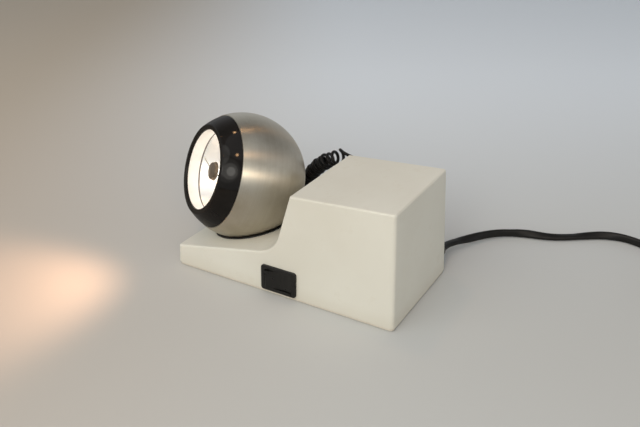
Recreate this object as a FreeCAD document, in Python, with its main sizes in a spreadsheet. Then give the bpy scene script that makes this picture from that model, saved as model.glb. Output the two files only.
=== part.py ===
import FreeCAD, Part
import math
import os
import re

import Sketcher

# Low-voltage ball spotlight. A satin steel ball rests on a plain ring in a dished tray, held down
# by a pot magnet, and turns freely on it. The moulded base holds the transformer in its tall block.
# Millimetres, +Z up, -Y the front of the tray, +X the side with the switch. The origin is under the
# middle of the whole lamp, on the table.

doc = FreeCAD.newDocument("ball_spotlight")

# ---------------------------------------------------------------- sizes
rows = [
    # base cover
    ("base_length", 193.5),
    ("base_width", 97.6),
    ("seam_height", 2.5),
    ("lip_height", 15.0),
    ("tray_slope", 11.38),
    ("tray_share", 0.48114),
    ("wall_lean", 15.9),
    ("wall_rise", 82.3),
    ("top_slope", 3.82),
    ("draft", 2.34),
    ("hollow_radius", 23.0),
    ("corner_radius", 2.8),
    ("edge_radius", 1.6),
    ("wall", 2.4),
    # ball and where it sits
    ("ball_radius", 51.0),
    ("ball_setback", 33.0),
    ("ball_sink", 8.6),
    ("shell_wall", 1.0),
    ("pan_angle", 57.5),
    ("aim_angle", 20.3),
    # front ring and sleeve
    ("ring_cut", 15.0),
    ("ring_depth", 13.1),
    ("ring_inset", 0.4),
    ("ring_lip", 2.0),
    ("rim_width", 4.4),
    ("sleeve_wall", 1.4),
    ("sleeve_step", 0.8),
    ("spigot_depth", 7.4),
    # lamp
    ("lamp_lap", 3.3),
    ("lamp_wall", 0.8),
    ("neck_radius", 7.9),
    ("cap_radius", 7.5),
    ("cap_depth", 7.5),
    ("wire_radius", 0.5),
    ("capsule_radius", 4.7),
    ("capsule_depth", 14.3),
    ("bayonet_radius", 7.5),
    ("bayonet_inset", 23.0),
    # lampholder and its bracket
    ("holder_radius", 10.5),
    ("holder_flange", 15.0),
    ("holder_seat", 8.0),
    ("holder_screw_radius", 12.7),
    ("bracket_sheet", 1.2),
    ("bracket_inset", 2.8),
    ("gland_radius", 4.9),
    ("gland_flange", 7.5),
    ("gland_nose", 5.0),
    ("nut_width", 14.0),
    # seat
    ("seat_gap", 0.8),
    ("seat_lap", 1.4),
    ("seat_width", 4.4),
    ("seat_depth", 2.5),
    ("seat_proud", 0.8),
    ("running_gap", 0.3),
    ("slip_gap", 0.1),
    # magnet
    ("pot_radius", 16.0),
    ("pot_wall", 2.6),
    ("pot_reach", 9.0),
    ("pole_radius", 5.0),
    ("strap_sheet", 1.5),
    ("strap_reach", 24.0),
    ("strap_width", 12.0),
    ("boss_radius", 3.6),
    ("small_shank", 1.25),
    ("small_head", 2.8),
    ("screw_gap", 0.05),
    # bottom plate, feet and their screws
    ("plate_bottom", 0.5),
    ("plate_inset", 0.6),
    ("foot_radius", 6.0),
    ("foot_recess", 1.0),
    ("foot_side", 7.5),
    ("foot_front", 8.0),
    ("foot_rear", 22.0),
    ("plate_boss", 4.0),
    ("plate_boss_top", 30.0),
    ("rib_sheet", 2.0),
    # transformer
    ("core_x", 8.0),
    ("core_shift", 3.3),
    ("core_room", 33.1),
    ("core_height", 55.0),
    ("core_stack", 34.0),
    ("bobbin_wall", 1.2),
    ("bobbin_lap", 0.5),
    ("winding_gap", 1.5),
    ("primary_share", 0.512),
    ("clamp_sheet", 1.2),
    ("clamp_foot", 8.5),
    ("clamp_width", 30.0),
    ("clamp_shank", 1.9),
    ("clamp_head", 3.4),
    # switch
    ("switch_offset", 4.85),
    ("switch_z", 13.6),
    ("bezel_length", 31.0),
    ("bezel_width", 21.0),
    ("bezel_proud", 1.8),
    ("housing_length", 27.2),
    ("housing_width", 18.2),
    ("housing_depth", 18.0),
    ("rocker_length", 22.4),
    ("rocker_width", 14.4),
    ("rocker_window", 24.0),
    ("rocker_pivot", 3.0),
    ("rocker_crest", 2.6),
    ("rocker_dip", 1.6),
    ("rocker_tilt", 8.0),
    ("axle_radius", 1.2),
    ("axle_reach", 1.0),
    ("axle_gap", 0.05),
    ("tab_length", 8.5),
    # cords
    ("cord_radius", 1.3),
    ("cord_inset", 55.25),
    ("cord_exit_z", 42.0),
    ("mains_radius", 2.6),
    ("mains_inset", 11.25),
    ("mains_exit_z", 7.5),
    ("boot_length", 20.0),
    ("cord_nose", 7.0),
    ("curl_radius", 6.7),
    ("bush_sheet", 2.0),
    # mains terminals and clamp
    ("block_x", -23.0),
    ("block_length", 12.0),
    ("block_inset", 23.25),
    ("block_pitch", 6.0),
    ("block_height", 14.5),
    ("saddle_x", -34.0),
    ("saddle_length", 7.0),
    ("saddle_half", 8.0),
    ("saddle_screw", 5.35),
    # spare length of the mains lead, and its plug
    ("hank_x", -115.7),
    ("hank_y", 314.5),
    ("hank_outer", 46.5),
    ("hank_inner", 29.4),
    ("hank_height", 14.5),
    ("plug_length", 38.0),
    ("plug_width", 30.0),
    ("plug_height", 13.6),
    ("pin_pitch", 18.6),
    ("pin_radius", 2.0),
    ("pin_length", 19.0),
]
sheet = doc.addObject("Spreadsheet::Sheet", "sizes")
for index, (alias, value) in enumerate(rows, 1):
    sheet.set("A%d" % index, alias)
    sheet.set("B%d" % index, repr(value))
    sheet.setAlias("B%d" % index, alias)
doc.recompute()

# Sizes that follow those in the sheet. Each is spelled out before it is used, the first ones first.
followers = [
    # the ring is cut into the ball, and the lamp and its holder stand between the ring and the back
    ("bracket_back", "(ball_radius-bracket_inset)"),
    ("holder_back", "(bayonet_back+holder_seat)"),
    ("bayonet_back", "(ball_radius-bayonet_inset)"),
    ("capsule_tip", "(ring_front-capsule_depth)"),
    ("cap_front", "(ring_front-cap_depth)"),
    ("lamp_radius", "(mouth_radius+lamp_lap)"),
    ("sleeve_end", "(ring_start+sleeve_step)"),
    ("mouth_radius", "(sqrt(ball_radius^2-ring_front^2)-rim_width)"),
    ("ring_start", "(ring_front-ring_depth)"),
    ("ring_front", "(ball_radius-ring_cut)"),
    # the seat ring stands where the sunk ball crosses the tray, and the magnet close under the ball
    ("seat_outer", "(seat_inner+seat_width)"),
    ("seat_inner", "(sqrt(ball_radius^2-(ball_radius-ball_sink)^2)-seat_lap)"),
    ("pot_back", "(ball_radius+pot_reach)"),
    # the transformer fills the tall block, and its windings fill the core's windows
    ("bobbin_reach", "(core_stack/2+slip_gap+bobbin_wall+primary_build+secondary_build+bobbin_lap)"),
    ("secondary_build", "(winding_room*(1-primary_share))"),
    ("primary_build", "(winding_room*primary_share)"),
    ("winding_room", "(core_length/2-core_leg-bobbin_wall-slip_gap-winding_gap)"),
    ("core_leg", "(core_length/3)"),
    ("core_length", "(base_length-foot_run-core_room)"),
    ("core_y", "((foot_y+rear)/2+core_shift)"),
    # places measured from the block's two ends
    ("switch_y", "(foot_y+switch_offset)"),
    ("cord_exit_y", "(rear-cord_inset)"),
    ("mains_exit_y", "(rear-mains_inset)"),
    ("block_y", "(rear-block_inset)"),
    ("foot_y", "(front+foot_run)"),
    ("foot_run", "(base_length*tray_share)"),
    ("front", "((ball_radius-ball_setback-base_length)/2)"),
    ("rear", "((ball_radius-ball_setback+base_length)/2)"),
]
aliases = re.compile(r"\b(%s)\b" % "|".join(alias for alias, value in rows))


def bound(text):
    """The expression with each size read from the sheet."""
    for name, meaning in followers:
        text = re.sub(r"\b%s\b" % name, meaning, text)
    return aliases.sub(r"sizes.\1", text)


def number(text):
    return float(sheet.evalExpression(bound(text)))


# Places that several pieces share.
ball_y = "(front+ball_setback)"
ball_drop = "(ball_radius-ball_sink)"
ball_z = f"(seam_height+lip_height+ball_setback*tan(tray_slope)+{ball_drop}/cos(tray_slope))"
foot_z = "(seam_height+lip_height+foot_run*tan(tray_slope))"
crest_z = "(seam_height+wall_rise)"
crest_y = f"(foot_y+({crest_z}-{foot_z})*tan(wall_lean))"
inner_radius = "(ball_radius-shell_wall)"
switch_x = "(base_width/2-(switch_z-seam_height)*tan(draft))"


def side_x(z):
    """Half width of the drafted cover at a height."""
    return f"(base_width/2-({z}-seam_height)*tan(draft))"


def on_sphere(radius, r, sign=""):
    return f"{sign}sqrt(({radius})^2-({r})^2)"


nodes = []


# ---------------------------------------------------------------- drawing helpers
def make_body(label, node=True):
    body = doc.addObject("PartDesign::Body", label)
    body.Label = label
    if node:
        nodes.append(body)
    return body


def make_sketch(body, name, plane, offset=None):
    sketch = body.newObject("Sketcher::SketchObject", name)
    origin = [f for f in body.Origin.OriginFeatures if f.Role == plane + "_Plane"][0]
    sketch.AttachmentSupport = (origin, [""])
    sketch.MapMode = "FlatFace"
    if offset is not None:
        sketch.setExpression(".AttachmentOffset.Base.z", bound(offset))
    return sketch


def bind(sketch, constraint, text):
    index = sketch.addConstraint(constraint)
    sketch.setExpression("Constraints[%d]" % index, bound(text))


def pin_point(sketch, geometry, position, x, y):
    """Ties a point to the sketch origin by its two coordinates."""
    for kind, axis, text in (("DistanceX", -2, x), ("DistanceY", -1, y)):
        if text == "0":
            sketch.addConstraint(Sketcher.Constraint("PointOnObject", geometry, position, axis))
        else:
            value = number(text)
            bind(sketch, Sketcher.Constraint(kind, -1, 1, geometry, position, value), text)


def outline(body, name, plane, steps, offset=None, sketch=None):
    """A closed profile. Each step is (x, y), or (x, y, radius, turn) for an arc that ends there,
    where turn is 1 for anticlockwise and -1 for clockwise."""
    if sketch is None:
        sketch = make_sketch(body, name, plane, offset)
    places = [(number(step[0]), number(step[1])) for step in steps]
    ends = []
    for index, step in enumerate(steps):
        start = FreeCAD.Vector(*places[index - 1], 0)
        end = FreeCAD.Vector(*places[index], 0)
        if len(step) == 2:
            geometry = sketch.addGeometry(Part.LineSegment(start, end))
            ends.append((geometry, 1, 2))
            continue
        radius = number(step[2])
        chord = end - start
        rise = math.sqrt(max(radius * radius - chord.Length**2 / 4, 0))
        across = FreeCAD.Vector(-chord.y, chord.x, 0).normalize()
        centre = (start + end) * 0.5 + across * rise * step[3]
        first, last = (start, end) if step[3] > 0 else (end, start)
        angles = [math.atan2(p.y - centre.y, p.x - centre.x) for p in (first, last)]
        if angles[1] < angles[0]:
            angles[1] += 2 * math.pi
        circle = Part.Circle(centre, FreeCAD.Vector(0, 0, 1), radius)
        geometry = sketch.addGeometry(Part.ArcOfCircle(circle, *angles))
        ends.append((geometry, 1, 2) if step[3] > 0 else (geometry, 2, 1))
    for index, step in enumerate(steps):
        geometry, tail, head = ends[index]
        follower, start, _ = ends[(index + 1) % len(steps)]
        sketch.addConstraint(Sketcher.Constraint("Coincident", geometry, head, follower, start))
        pin_point(sketch, geometry, head, step[0], step[1])
        if len(step) == 4:
            bind(sketch, Sketcher.Constraint("Radius", geometry, number(step[2])), step[2])
    return sketch


def circles(body, name, plane, places, radius, offset=None):
    sketch = make_sketch(body, name, plane, offset)
    for x, y in places:
        centre = FreeCAD.Vector(number(x), number(y), 0)
        circle = Part.Circle(centre, FreeCAD.Vector(0, 0, 1), number(radius))
        geometry = sketch.addGeometry(circle)
        pin_point(sketch, geometry, 3, x, y)
        bind(sketch, Sketcher.Constraint("Radius", geometry, number(radius)), radius)
    return sketch


def box(body, name, plane, x0, y0, x1, y1, offset=None):
    return outline(body, name, plane, [(x0, y0), (x1, y0), (x1, y1), (x0, y1)], offset)


def pad(body, sketch, length, both=False, reverse=False, taper=None):
    feature = body.newObject("PartDesign::Pad", sketch.Name + "_pad")
    feature.Profile = sketch
    feature.setExpression("Length", bound(length))
    if both:
        feature.SideType = "Symmetric"
    feature.Reversed = reverse
    if taper:
        feature.setExpression("TaperAngle", bound(taper))
    return feature


def pocket(body, sketch, length=None, both=False, reverse=False):
    feature = body.newObject("PartDesign::Pocket", sketch.Name + "_cut")
    feature.Profile = sketch
    if length is None:
        feature.Type = "ThroughAll"
    else:
        feature.setExpression("Length", bound(length))
    if both:
        feature.SideType = "Symmetric"
    feature.Reversed = reverse
    return feature


def revolve(body, sketch, axis="V_Axis", cut=False):
    kind = "PartDesign::Groove" if cut else "PartDesign::Revolution"
    feature = body.newObject(kind, sketch.Name + "_turn")
    feature.Profile = sketch
    feature.ReferenceAxis = (sketch, [axis])
    feature.Angle = 360
    return feature


def turned(label, steps, node=True):
    """A turned piece about its own Z axis, from (radius, height) steps."""
    body = make_body(label, node)
    revolve(body, outline(body, label + "_profile", "XZ", steps))
    return body


def round_edges(body, feature, radius, chosen, kind="PartDesign::Fillet"):
    doc.recompute()
    names = ["Edge%d" % i for i, edge in enumerate(feature.Shape.Edges, 1) if chosen(edge)]
    rounding = body.newObject(kind, feature.Name + "_edge")
    rounding.Base = (feature, names)
    size = "Radius" if kind.endswith("Fillet") else "Size"
    rounding.setExpression(size, bound(radius))
    return rounding


def direction(edge):
    span = edge.Vertexes[-1].Point - edge.Vertexes[0].Point
    return span.normalize() if span.Length > 1e-6 else span


def place(piece, x, y, z, rotation=None):
    base = FreeCAD.Vector(number(x), number(y), number(z))
    piece.Placement = FreeCAD.Placement(base, rotation or FreeCAD.Rotation())
    for axis, text in zip("xyz", (x, y, z)):
        piece.setExpression(".Placement.Base." + axis, bound(text))
    return piece


def copies(label, source, places, rotation=None):
    """One node of identical pieces: links to one body at each place."""
    links = []
    for index, (x, y, z) in enumerate(places, 1):
        link = doc.addObject("App::Link", "%s_%d" % (label, index))
        link.LinkedObject = source
        links.append(place(link, x, y, z, rotation))
    group = doc.addObject("Part::Compound", label)
    group.Label = label
    group.Links = links
    nodes.append(group)
    return group


def boolean(kind, label, base, tool, node=False):
    piece = doc.addObject("Part::" + kind, label)
    piece.Label = label
    piece.Base = base
    piece.Tool = tool
    if node:
        nodes.append(piece)
    return piece


def screw(label, head_radius, head_height, shank_radius, length):
    """Pan-head screw, head down: the head's seat is at height zero and the shank points up."""
    steps = [
        ("0", f"-{head_height}"),
        (f"{head_radius}*0.8", f"-{head_height}"),
        (head_radius, f"-{head_height}*0.45"),
        (head_radius, "0"),
        (shank_radius, "0"),
        (shank_radius, f"{length}-{shank_radius}"),
        (f"{shank_radius}*0.4", length),
        ("0", length),
    ]
    return turned(label, steps, node=False)


across_x = FreeCAD.Vector(1, 0, 0)
upright = FreeCAD.Vector(0, 0, 1)
seat_turn = FreeCAD.Rotation(across_x, number("tray_slope"))
beam_turn = FreeCAD.Rotation(upright, number("pan_angle"))
beam_turn = beam_turn.multiply(FreeCAD.Rotation(across_x, 90 - number("aim_angle")))
wall_turn = FreeCAD.Rotation(
    FreeCAD.Vector(0, 1, 0),
    FreeCAD.Vector(-math.sin(math.radians(number("draft"))), 0, math.cos(math.radians(number("draft")))),
    FreeCAD.Vector(math.cos(math.radians(number("draft"))), 0, math.sin(math.radians(number("draft")))),
    "ZXY",
)


def in_seat(piece):
    """Puts a piece drawn about the ball's centre, with Z square to the tray."""
    return place(piece, "0", ball_y, ball_z, seat_turn)


def in_head(piece):
    """Puts a piece drawn about the ball's centre, with Z along the beam."""
    return place(piece, "0", ball_y, ball_z, beam_turn)


def in_wall(piece):
    """Puts a piece drawn with X to the rear, Y up the side wall and Z out of it."""
    return place(piece, switch_x, "switch_y", "switch_z", wall_turn)


# ---------------------------------------------------------------- base cover
def block(name, inset, corner):
    """The cover's form: a drafted block, cut to the tray, the hollow, the wall and the top."""
    body = make_body(name, node=False)
    half = f"(base_width/2-{inset})"
    plan = box(
        body, name + "_plan", "XY", f"-{half}", f"front+{inset}", half, f"rear-{inset}", "seam_height"
    )
    pad(body, plan, f"wall_rise+base_length*tan(top_slope)-{inset}", taper="-draft")
    swing = "((90-wall_lean-tray_slope)/2)"
    reach = f"(hollow_radius*tan{swing})"
    low = (f"foot_y-{reach}*cos(tray_slope)+{inset}*sin(tray_slope)",
           f"{foot_z}-{reach}*sin(tray_slope)-{inset}*cos(tray_slope)")
    high = (f"foot_y+{reach}*sin(wall_lean)+{inset}*cos(wall_lean)",
            f"{foot_z}+{reach}*cos(wall_lean)-{inset}*sin(wall_lean)")
    share = f"({inset}/(1+sin(wall_lean+top_slope)))"
    crest = (f"{crest_y}+{share}*(cos(wall_lean)+sin(top_slope))",
             f"{crest_z}-{share}*(sin(wall_lean)+cos(top_slope))")
    over = "(wall_rise+base_length)"
    steps = [
        ("front-wall_rise", f"{low[1]}-({low[0]}-front+wall_rise)*tan(tray_slope)"),
        low,
        (high[0], high[1], f"hollow_radius+{inset}", 1),
        crest,
        ("rear+wall_rise", f"{crest[1]}+(rear+wall_rise-({crest[0]}))*tan(top_slope)"),
        ("rear+wall_rise", over),
        ("front-wall_rise", over),
    ]
    trimmed = pocket(body, outline(body, name + "_side", "YZ", steps), both=True)
    if corner is None:
        return body

    def upright_corner(edge):
        way = direction(edge)
        return abs(way.z) > 0.9 and abs(way.y) < 0.1 and edge.Length > 3

    rounded = round_edges(body, trimmed, corner, upright_corner)
    smooth = (number(low[0]), number(high[0]))

    def top_edge(edge):
        way = direction(edge)
        middle = edge.CenterOfMass
        if abs(way.z) > 0.95 and abs(way.y) < 0.1:
            return False
        if abs(way.x) > 0.9 and min(abs(middle.y - y) for y in smooth) < 0.5:
            return False
        return middle.z > number("seam_height") + 1

    round_edges(body, rounded, "edge_radius", top_edge)
    return body


outer = block("cover_outside", "0", "corner_radius")
inner = block("cover_inside", "wall", None)
shell = boolean("Cut", "cover_shell", outer, inner)

# The dish that carries the ball: a spherical bowl, a stepped groove for the seat ring, a skirt
# round the magnet and a boss on each side for its strap.
dish_radius = "(ball_radius+seat_gap+wall)"
groove_floor = f"(-{ball_drop}-seat_depth-slip_gap)"
groove_outer = "(seat_outer+running_gap)"
skirt_bore = "(pot_radius+slip_gap)"
pot_flange_face = "(-pot_back+pot_wall)"
dish = turned(
    "seat_dish",
    [
        (skirt_bore + "+wall", f"-{ball_drop}-slip_gap"),
        (f"{groove_outer}+wall", f"-{ball_drop}-slip_gap"),
        (f"{groove_outer}+wall", f"{groove_floor}-wall"),
        ("seat_inner-slip_gap", f"{groove_floor}-wall"),
        (skirt_bore + "+wall", on_sphere(dish_radius, skirt_bore + "+wall", "-"), dish_radius, -1),
        (skirt_bore + "+wall", pot_flange_face),
        (skirt_bore, pot_flange_face),
        (skirt_bore, f"-{ball_drop}-slip_gap"),
    ],
    node=False,
)
strap_face = "-pot_back"
bosses = circles(
    dish, "strap_bosses", "XY", [("-strap_reach", "0"), ("strap_reach", "0")], "boss_radius", strap_face
)
pad(dish, bosses, f"pot_back-{on_sphere('ball_radius+seat_gap+wall/2', 'strap_reach')}")
in_seat(dish)

dish_space = turned(
    "seat_space",
    [
        ("0", f"{pot_flange_face}-0.1"),
        (skirt_bore, f"{pot_flange_face}-0.1"),
        (skirt_bore, on_sphere("ball_radius+seat_gap", skirt_bore, "-")),
        ("seat_inner-slip_gap", on_sphere("ball_radius+seat_gap", "seat_inner-slip_gap", "-"),
         "ball_radius+seat_gap", 1),
        ("seat_inner-slip_gap", groove_floor),
        (groove_outer, groove_floor),
        (groove_outer, f"-{ball_drop}+5"),
        ("0", f"-{ball_drop}+5"),
    ],
    node=False,
)
strap_bores = circles(
    dish_space, "strap_bores", "XY", [("-strap_reach", "0"), ("strap_reach", "0")],
    "small_shank+screw_gap", strap_face + "-0.1",
)
pad(dish_space, strap_bores, "8.6")
in_seat(dish_space)
dished = boolean("Cut", "cover_dished", boolean("Fuse", "cover_with_dish", shell, dish), dish_space)

# Bosses for the plate's screws: the front pair runs up into the tray, the rear pair is ribbed to
# the side walls.
boss_x = "(base_width/2-foot_side)"
boss_front = "(front+foot_front)"
boss_rear = "(rear-foot_rear)"
tray_under = "(lip_height-0.5)"
plate_bosses = make_body("plate_bosses", node=False)
pad(plate_bosses, circles(plate_bosses, "front_bosses", "XY",
    [(boss_x, boss_front), ("-" + boss_x, boss_front)], "plate_boss", "seam_height"), tray_under)
pad(plate_bosses, circles(plate_bosses, "rear_bosses", "XY",
    [(boss_x, boss_rear), ("-" + boss_x, boss_rear)], "plate_boss", "seam_height"), "plate_boss_top")
ribs = make_sketch(plate_bosses, "boss_ribs", "XY", "seam_height")
for side in ("", "-"):
    outline(plate_bosses, "boss_ribs", "XY", [
        (f"{side}({boss_x}+1)", f"{boss_rear}-rib_sheet/2"),
        (f"{side}({side_x('seam_height+plate_boss_top')}-wall/2)", f"{boss_rear}-rib_sheet/2"),
        (f"{side}({side_x('seam_height+plate_boss_top')}-wall/2)", f"{boss_rear}+rib_sheet/2"),
        (f"{side}({boss_x}+1)", f"{boss_rear}+rib_sheet/2"),
    ], sketch=ribs)
pad(plate_bosses, ribs, "plate_boss_top")

openings = make_body("cover_openings", node=False)
pad(openings, circles(openings, "boss_bores", "XY", [
    (boss_x, boss_front), ("-" + boss_x, boss_front), (boss_x, boss_rear), ("-" + boss_x, boss_rear),
], "small_shank+screw_gap", "seam_height-1"), "lip_height-2")
for name, y, z, radius in (
    ("cord_hole", "cord_exit_y", "cord_exit_z", "cord_radius+2.9"),
    ("mains_hole", "mains_exit_y", "mains_exit_z", "mains_radius+1.7"),
):
    hole = circles(openings, name, "YZ", [(y, z)], radius, "-base_width/2-1")
    pad(openings, hole, "wall+5")
switch_hole = make_body("switch_hole", node=False)
pad(switch_hole, box(switch_hole, "cutout", "XY", "-housing_length/2-slip_gap", "-housing_width/2-slip_gap",
    "housing_length/2+slip_gap", "housing_width/2+slip_gap"), "wall*4", both=True)
in_wall(switch_hole)
bossed = boolean("Fuse", "cover_bossed", dished, plate_bosses)
cut_out = boolean("Cut", "cover_cut_out", bossed, openings)
boolean("Cut", "base_cover", cut_out, switch_hole, node=True)

# ---------------------------------------------------------------- bottom plate and feet
plate = make_body("bottom_plate")
plate_pad = pad(plate, box(plate, "plate_plan", "XY", "-base_width/2+plate_inset", "front+plate_inset",
    "base_width/2-plate_inset", "rear-plate_inset", "plate_bottom"), "seam_height-plate_bottom")
round_edges(plate, plate_pad, "corner_radius", lambda edge: abs(direction(edge).z) > 0.9)
foot_places = [(x, y) for y in (boss_front, boss_rear) for x in (boss_x, "-" + boss_x)]
pocket(plate, circles(plate, "foot_recesses", "XY", foot_places, "foot_radius+slip_gap", "plate_bottom"),
    "foot_recess", reverse=True)
pocket(plate, circles(plate, "screw_holes", "XY", foot_places, "small_shank+0.4", "plate_bottom"),
    reverse=True)
clamp_reach = "(core_length/2+clamp_sheet+clamp_foot/2)"
pocket(plate, circles(plate, "clamp_holes", "XY", [
    ("core_x", f"core_y-{clamp_reach}"), ("core_x", f"core_y+{clamp_reach}"),
], "clamp_shank+screw_gap", "plate_bottom"), reverse=True)

foot_top = "(plate_bottom+foot_recess)"
foot = turned("foot", [
    ("small_head+0.5", "0"),
    ("foot_radius-0.5", "0"),
    ("foot_radius", "0.5", "0.5", 1),
    ("foot_radius", foot_top),
    ("small_head+0.5", foot_top),
], node=False)
copies("rubber_feet", foot, [(x, y, "0") for x, y in foot_places])
plate_screw = screw("plate_screw", "small_head", "1.1", "small_shank", "12")
copies("plate_screws", plate_screw, [(x, y, foot_top) for x, y in foot_places])

# ---------------------------------------------------------------- seat ring and magnet
touch = "(ball_radius+running_gap)"
ring_top = f"(-{ball_drop}+seat_proud)"
in_seat(turned("seat_ring", [
    ("seat_inner", f"-{ball_drop}-seat_depth"),
    ("seat_outer", f"-{ball_drop}-seat_depth"),
    ("seat_outer", f"{ring_top}-0.4"),
    ("seat_outer-0.4", ring_top, "0.4", 1),
    (f"sqrt({touch}^2-{ring_top}^2)", ring_top),
    ("seat_inner", on_sphere(touch, "seat_inner", "-"), touch, -1),
]))

pot_floor = "(-pot_back+pot_wall)"
in_seat(turned("magnet_pot", [
    ("0", "-pot_back"),
    ("pot_radius+pot_wall", "-pot_back"),
    ("pot_radius+pot_wall", pot_floor),
    ("pot_radius", pot_floor),
    ("pot_radius", on_sphere(touch, "pot_radius", "-")),
    ("pot_radius-pot_wall", on_sphere(touch, "pot_radius-pot_wall", "-"), touch, -1),
    ("pot_radius-pot_wall", pot_floor),
    ("pole_radius", pot_floor),
    ("pole_radius", on_sphere(touch, "pole_radius", "-")),
    ("0", f"-{touch}", touch, -1),
]))
magnet_top = "(ball_radius+running_gap+0.5)"
in_seat(turned("seat_magnet", [
    ("pole_radius+slip_gap", pot_floor),
    ("pot_radius-pot_wall-slip_gap", pot_floor),
    ("pot_radius-pot_wall-slip_gap", on_sphere(magnet_top, "pot_radius-pot_wall-slip_gap", "-")),
    ("pole_radius+slip_gap", on_sphere(magnet_top, "pole_radius+slip_gap", "-"), magnet_top, -1),
]))
strap = make_body("magnet_strap")
half = "(strap_width/2)"
strap_pad = pad(strap, box(strap, "strap_plan", "XY", f"-strap_reach-{half}", f"-{half}",
    f"strap_reach+{half}", half, f"{strap_face}-strap_sheet"), "strap_sheet")
round_edges(strap, strap_pad, f"{half}-0.5", lambda edge: abs(direction(edge).z) > 0.9)
pocket(strap, circles(strap, "strap_holes", "XY", [("-strap_reach", "0"), ("strap_reach", "0")],
    "small_shank+0.3", f"{strap_face}-strap_sheet"), reverse=True)
in_seat(strap)
strap_screw = screw("strap_screw", "small_head", "1.8", "small_shank", "9.5")
strap_places = [
    (side + "strap_reach", f"{ball_y}+(pot_back+strap_sheet)*sin(tray_slope)",
     f"{ball_z}-(pot_back+strap_sheet)*cos(tray_slope)")
    for side in ("", "-")
]
copies("strap_screws", strap_screw, strap_places, seat_turn)

# ---------------------------------------------------------------- transformer
core_leg = "(core_leg/2)"
core_window = "((core_length/2-core_leg)/2)"
core_base = "seam_height"
coil_low = f"({core_base}+core_leg/2)"
coil_high = f"({core_base}+core_height-core_leg/2)"
core = make_body("transformer_core")
core_outline = box(core, "core_outline", "YZ", "core_y-core_length/2", core_base,
    "core_y+core_length/2", f"{core_base}+core_height", "core_x")
pad(core, core_outline, "core_stack", both=True)
for side, name in (("-", "front_window"), ("+", "rear_window")):
    window = box(core, name, "YZ", f"core_y{side}core_leg/2", coil_low,
        f"core_y{side}(core_length/2-core_leg/2)", coil_high, "core_x")
    pocket(core, window, both=True)


def sleeve(body, name, low, high, inner_y, inner_x, outer_y, outer_x):
    """A square tube about the middle leg of the core."""
    sketch = make_sketch(body, name, "XY", low)
    for half_y, half_x in ((outer_y, outer_x), (inner_y, inner_x)):
        outline(body, name, "XY", [
            (f"core_x-{half_x}", f"core_y-{half_y}"),
            (f"core_x+{half_x}", f"core_y-{half_y}"),
            (f"core_x+{half_x}", f"core_y+{half_y}"),
            (f"core_x-{half_x}", f"core_y+{half_y}"),
        ], sketch=sketch)
    return pad(body, sketch, f"{high}-({low})")


tube_y, tube_x = "(core_leg/2+slip_gap)", "(core_stack/2+slip_gap)"
wound_y, wound_x = "(core_leg/2+bobbin_wall+slip_gap)", "(core_stack/2+bobbin_wall+slip_gap)"
first_y, first_x = f"({wound_y}+primary_build)", f"({wound_x}+primary_build)"
second_y, second_x = f"({first_y}+secondary_build)", f"({first_x}+secondary_build)"
flange_y = "(core_length/2-core_leg/2-slip_gap)"
bobbin = make_body("transformer_bobbin")
sleeve(bobbin, "bobbin_tube", f"{coil_low}+slip_gap", f"{coil_high}-slip_gap", tube_y, tube_x, wound_y, wound_x)
sleeve(bobbin, "lower_flange", f"{coil_low}+slip_gap", f"{coil_low}+slip_gap+bobbin_wall",
    tube_y, tube_x, flange_y, "bobbin_reach")
sleeve(bobbin, "upper_flange", f"{coil_high}-slip_gap-bobbin_wall", f"{coil_high}-slip_gap",
    tube_y, tube_x, flange_y, "bobbin_reach")
turns_low = f"{coil_low}+slip_gap+bobbin_wall"
turns_high = f"{coil_high}-slip_gap-bobbin_wall"
primary = make_body("primary_winding")
sleeve(primary, "primary_turns", turns_low, turns_high, wound_y, wound_x, first_y, first_x)
secondary = make_body("secondary_winding")
sleeve(secondary, "secondary_turns", turns_low, turns_high, first_y, first_x, second_y, second_x)

clamp = make_body("transformer_clamp")
reach = "(core_length/2)"
lid = f"({core_base}+core_height)"
clamp_side = outline(clamp, "clamp_side", "YZ", [
    (f"core_y-{reach}-clamp_sheet-clamp_foot", core_base),
    (f"core_y-{reach}", core_base),
    (f"core_y-{reach}", lid),
    (f"core_y+{reach}", lid),
    (f"core_y+{reach}", core_base),
    (f"core_y+{reach}+clamp_sheet+clamp_foot", core_base),
    (f"core_y+{reach}+clamp_sheet+clamp_foot", f"{core_base}+clamp_sheet"),
    (f"core_y+{reach}+clamp_sheet", f"{core_base}+clamp_sheet"),
    (f"core_y+{reach}+clamp_sheet", f"{lid}+clamp_sheet"),
    (f"core_y-{reach}-clamp_sheet", f"{lid}+clamp_sheet"),
    (f"core_y-{reach}-clamp_sheet", f"{core_base}+clamp_sheet"),
    (f"core_y-{reach}-clamp_sheet-clamp_foot", f"{core_base}+clamp_sheet"),
], "core_x")
pad(clamp, clamp_side, "clamp_width", both=True)
pocket(clamp, circles(clamp, "clamp_foot_holes", "XY", [
    ("core_x", f"core_y-{clamp_reach}"), ("core_x", f"core_y+{clamp_reach}"),
], "clamp_shank+screw_gap", f"{core_base}-1"), "clamp_sheet+2", reverse=True)
clamp_screw = screw("clamp_screw", "clamp_head", "2", "clamp_shank", "clamp_sheet+1.8")
copies("transformer_screws", clamp_screw, [
    ("core_x", f"core_y-{clamp_reach}", f"{core_base}+clamp_sheet"),
    ("core_x", f"core_y+{clamp_reach}", f"{core_base}+clamp_sheet"),
], FreeCAD.Rotation(across_x, 180))

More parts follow.
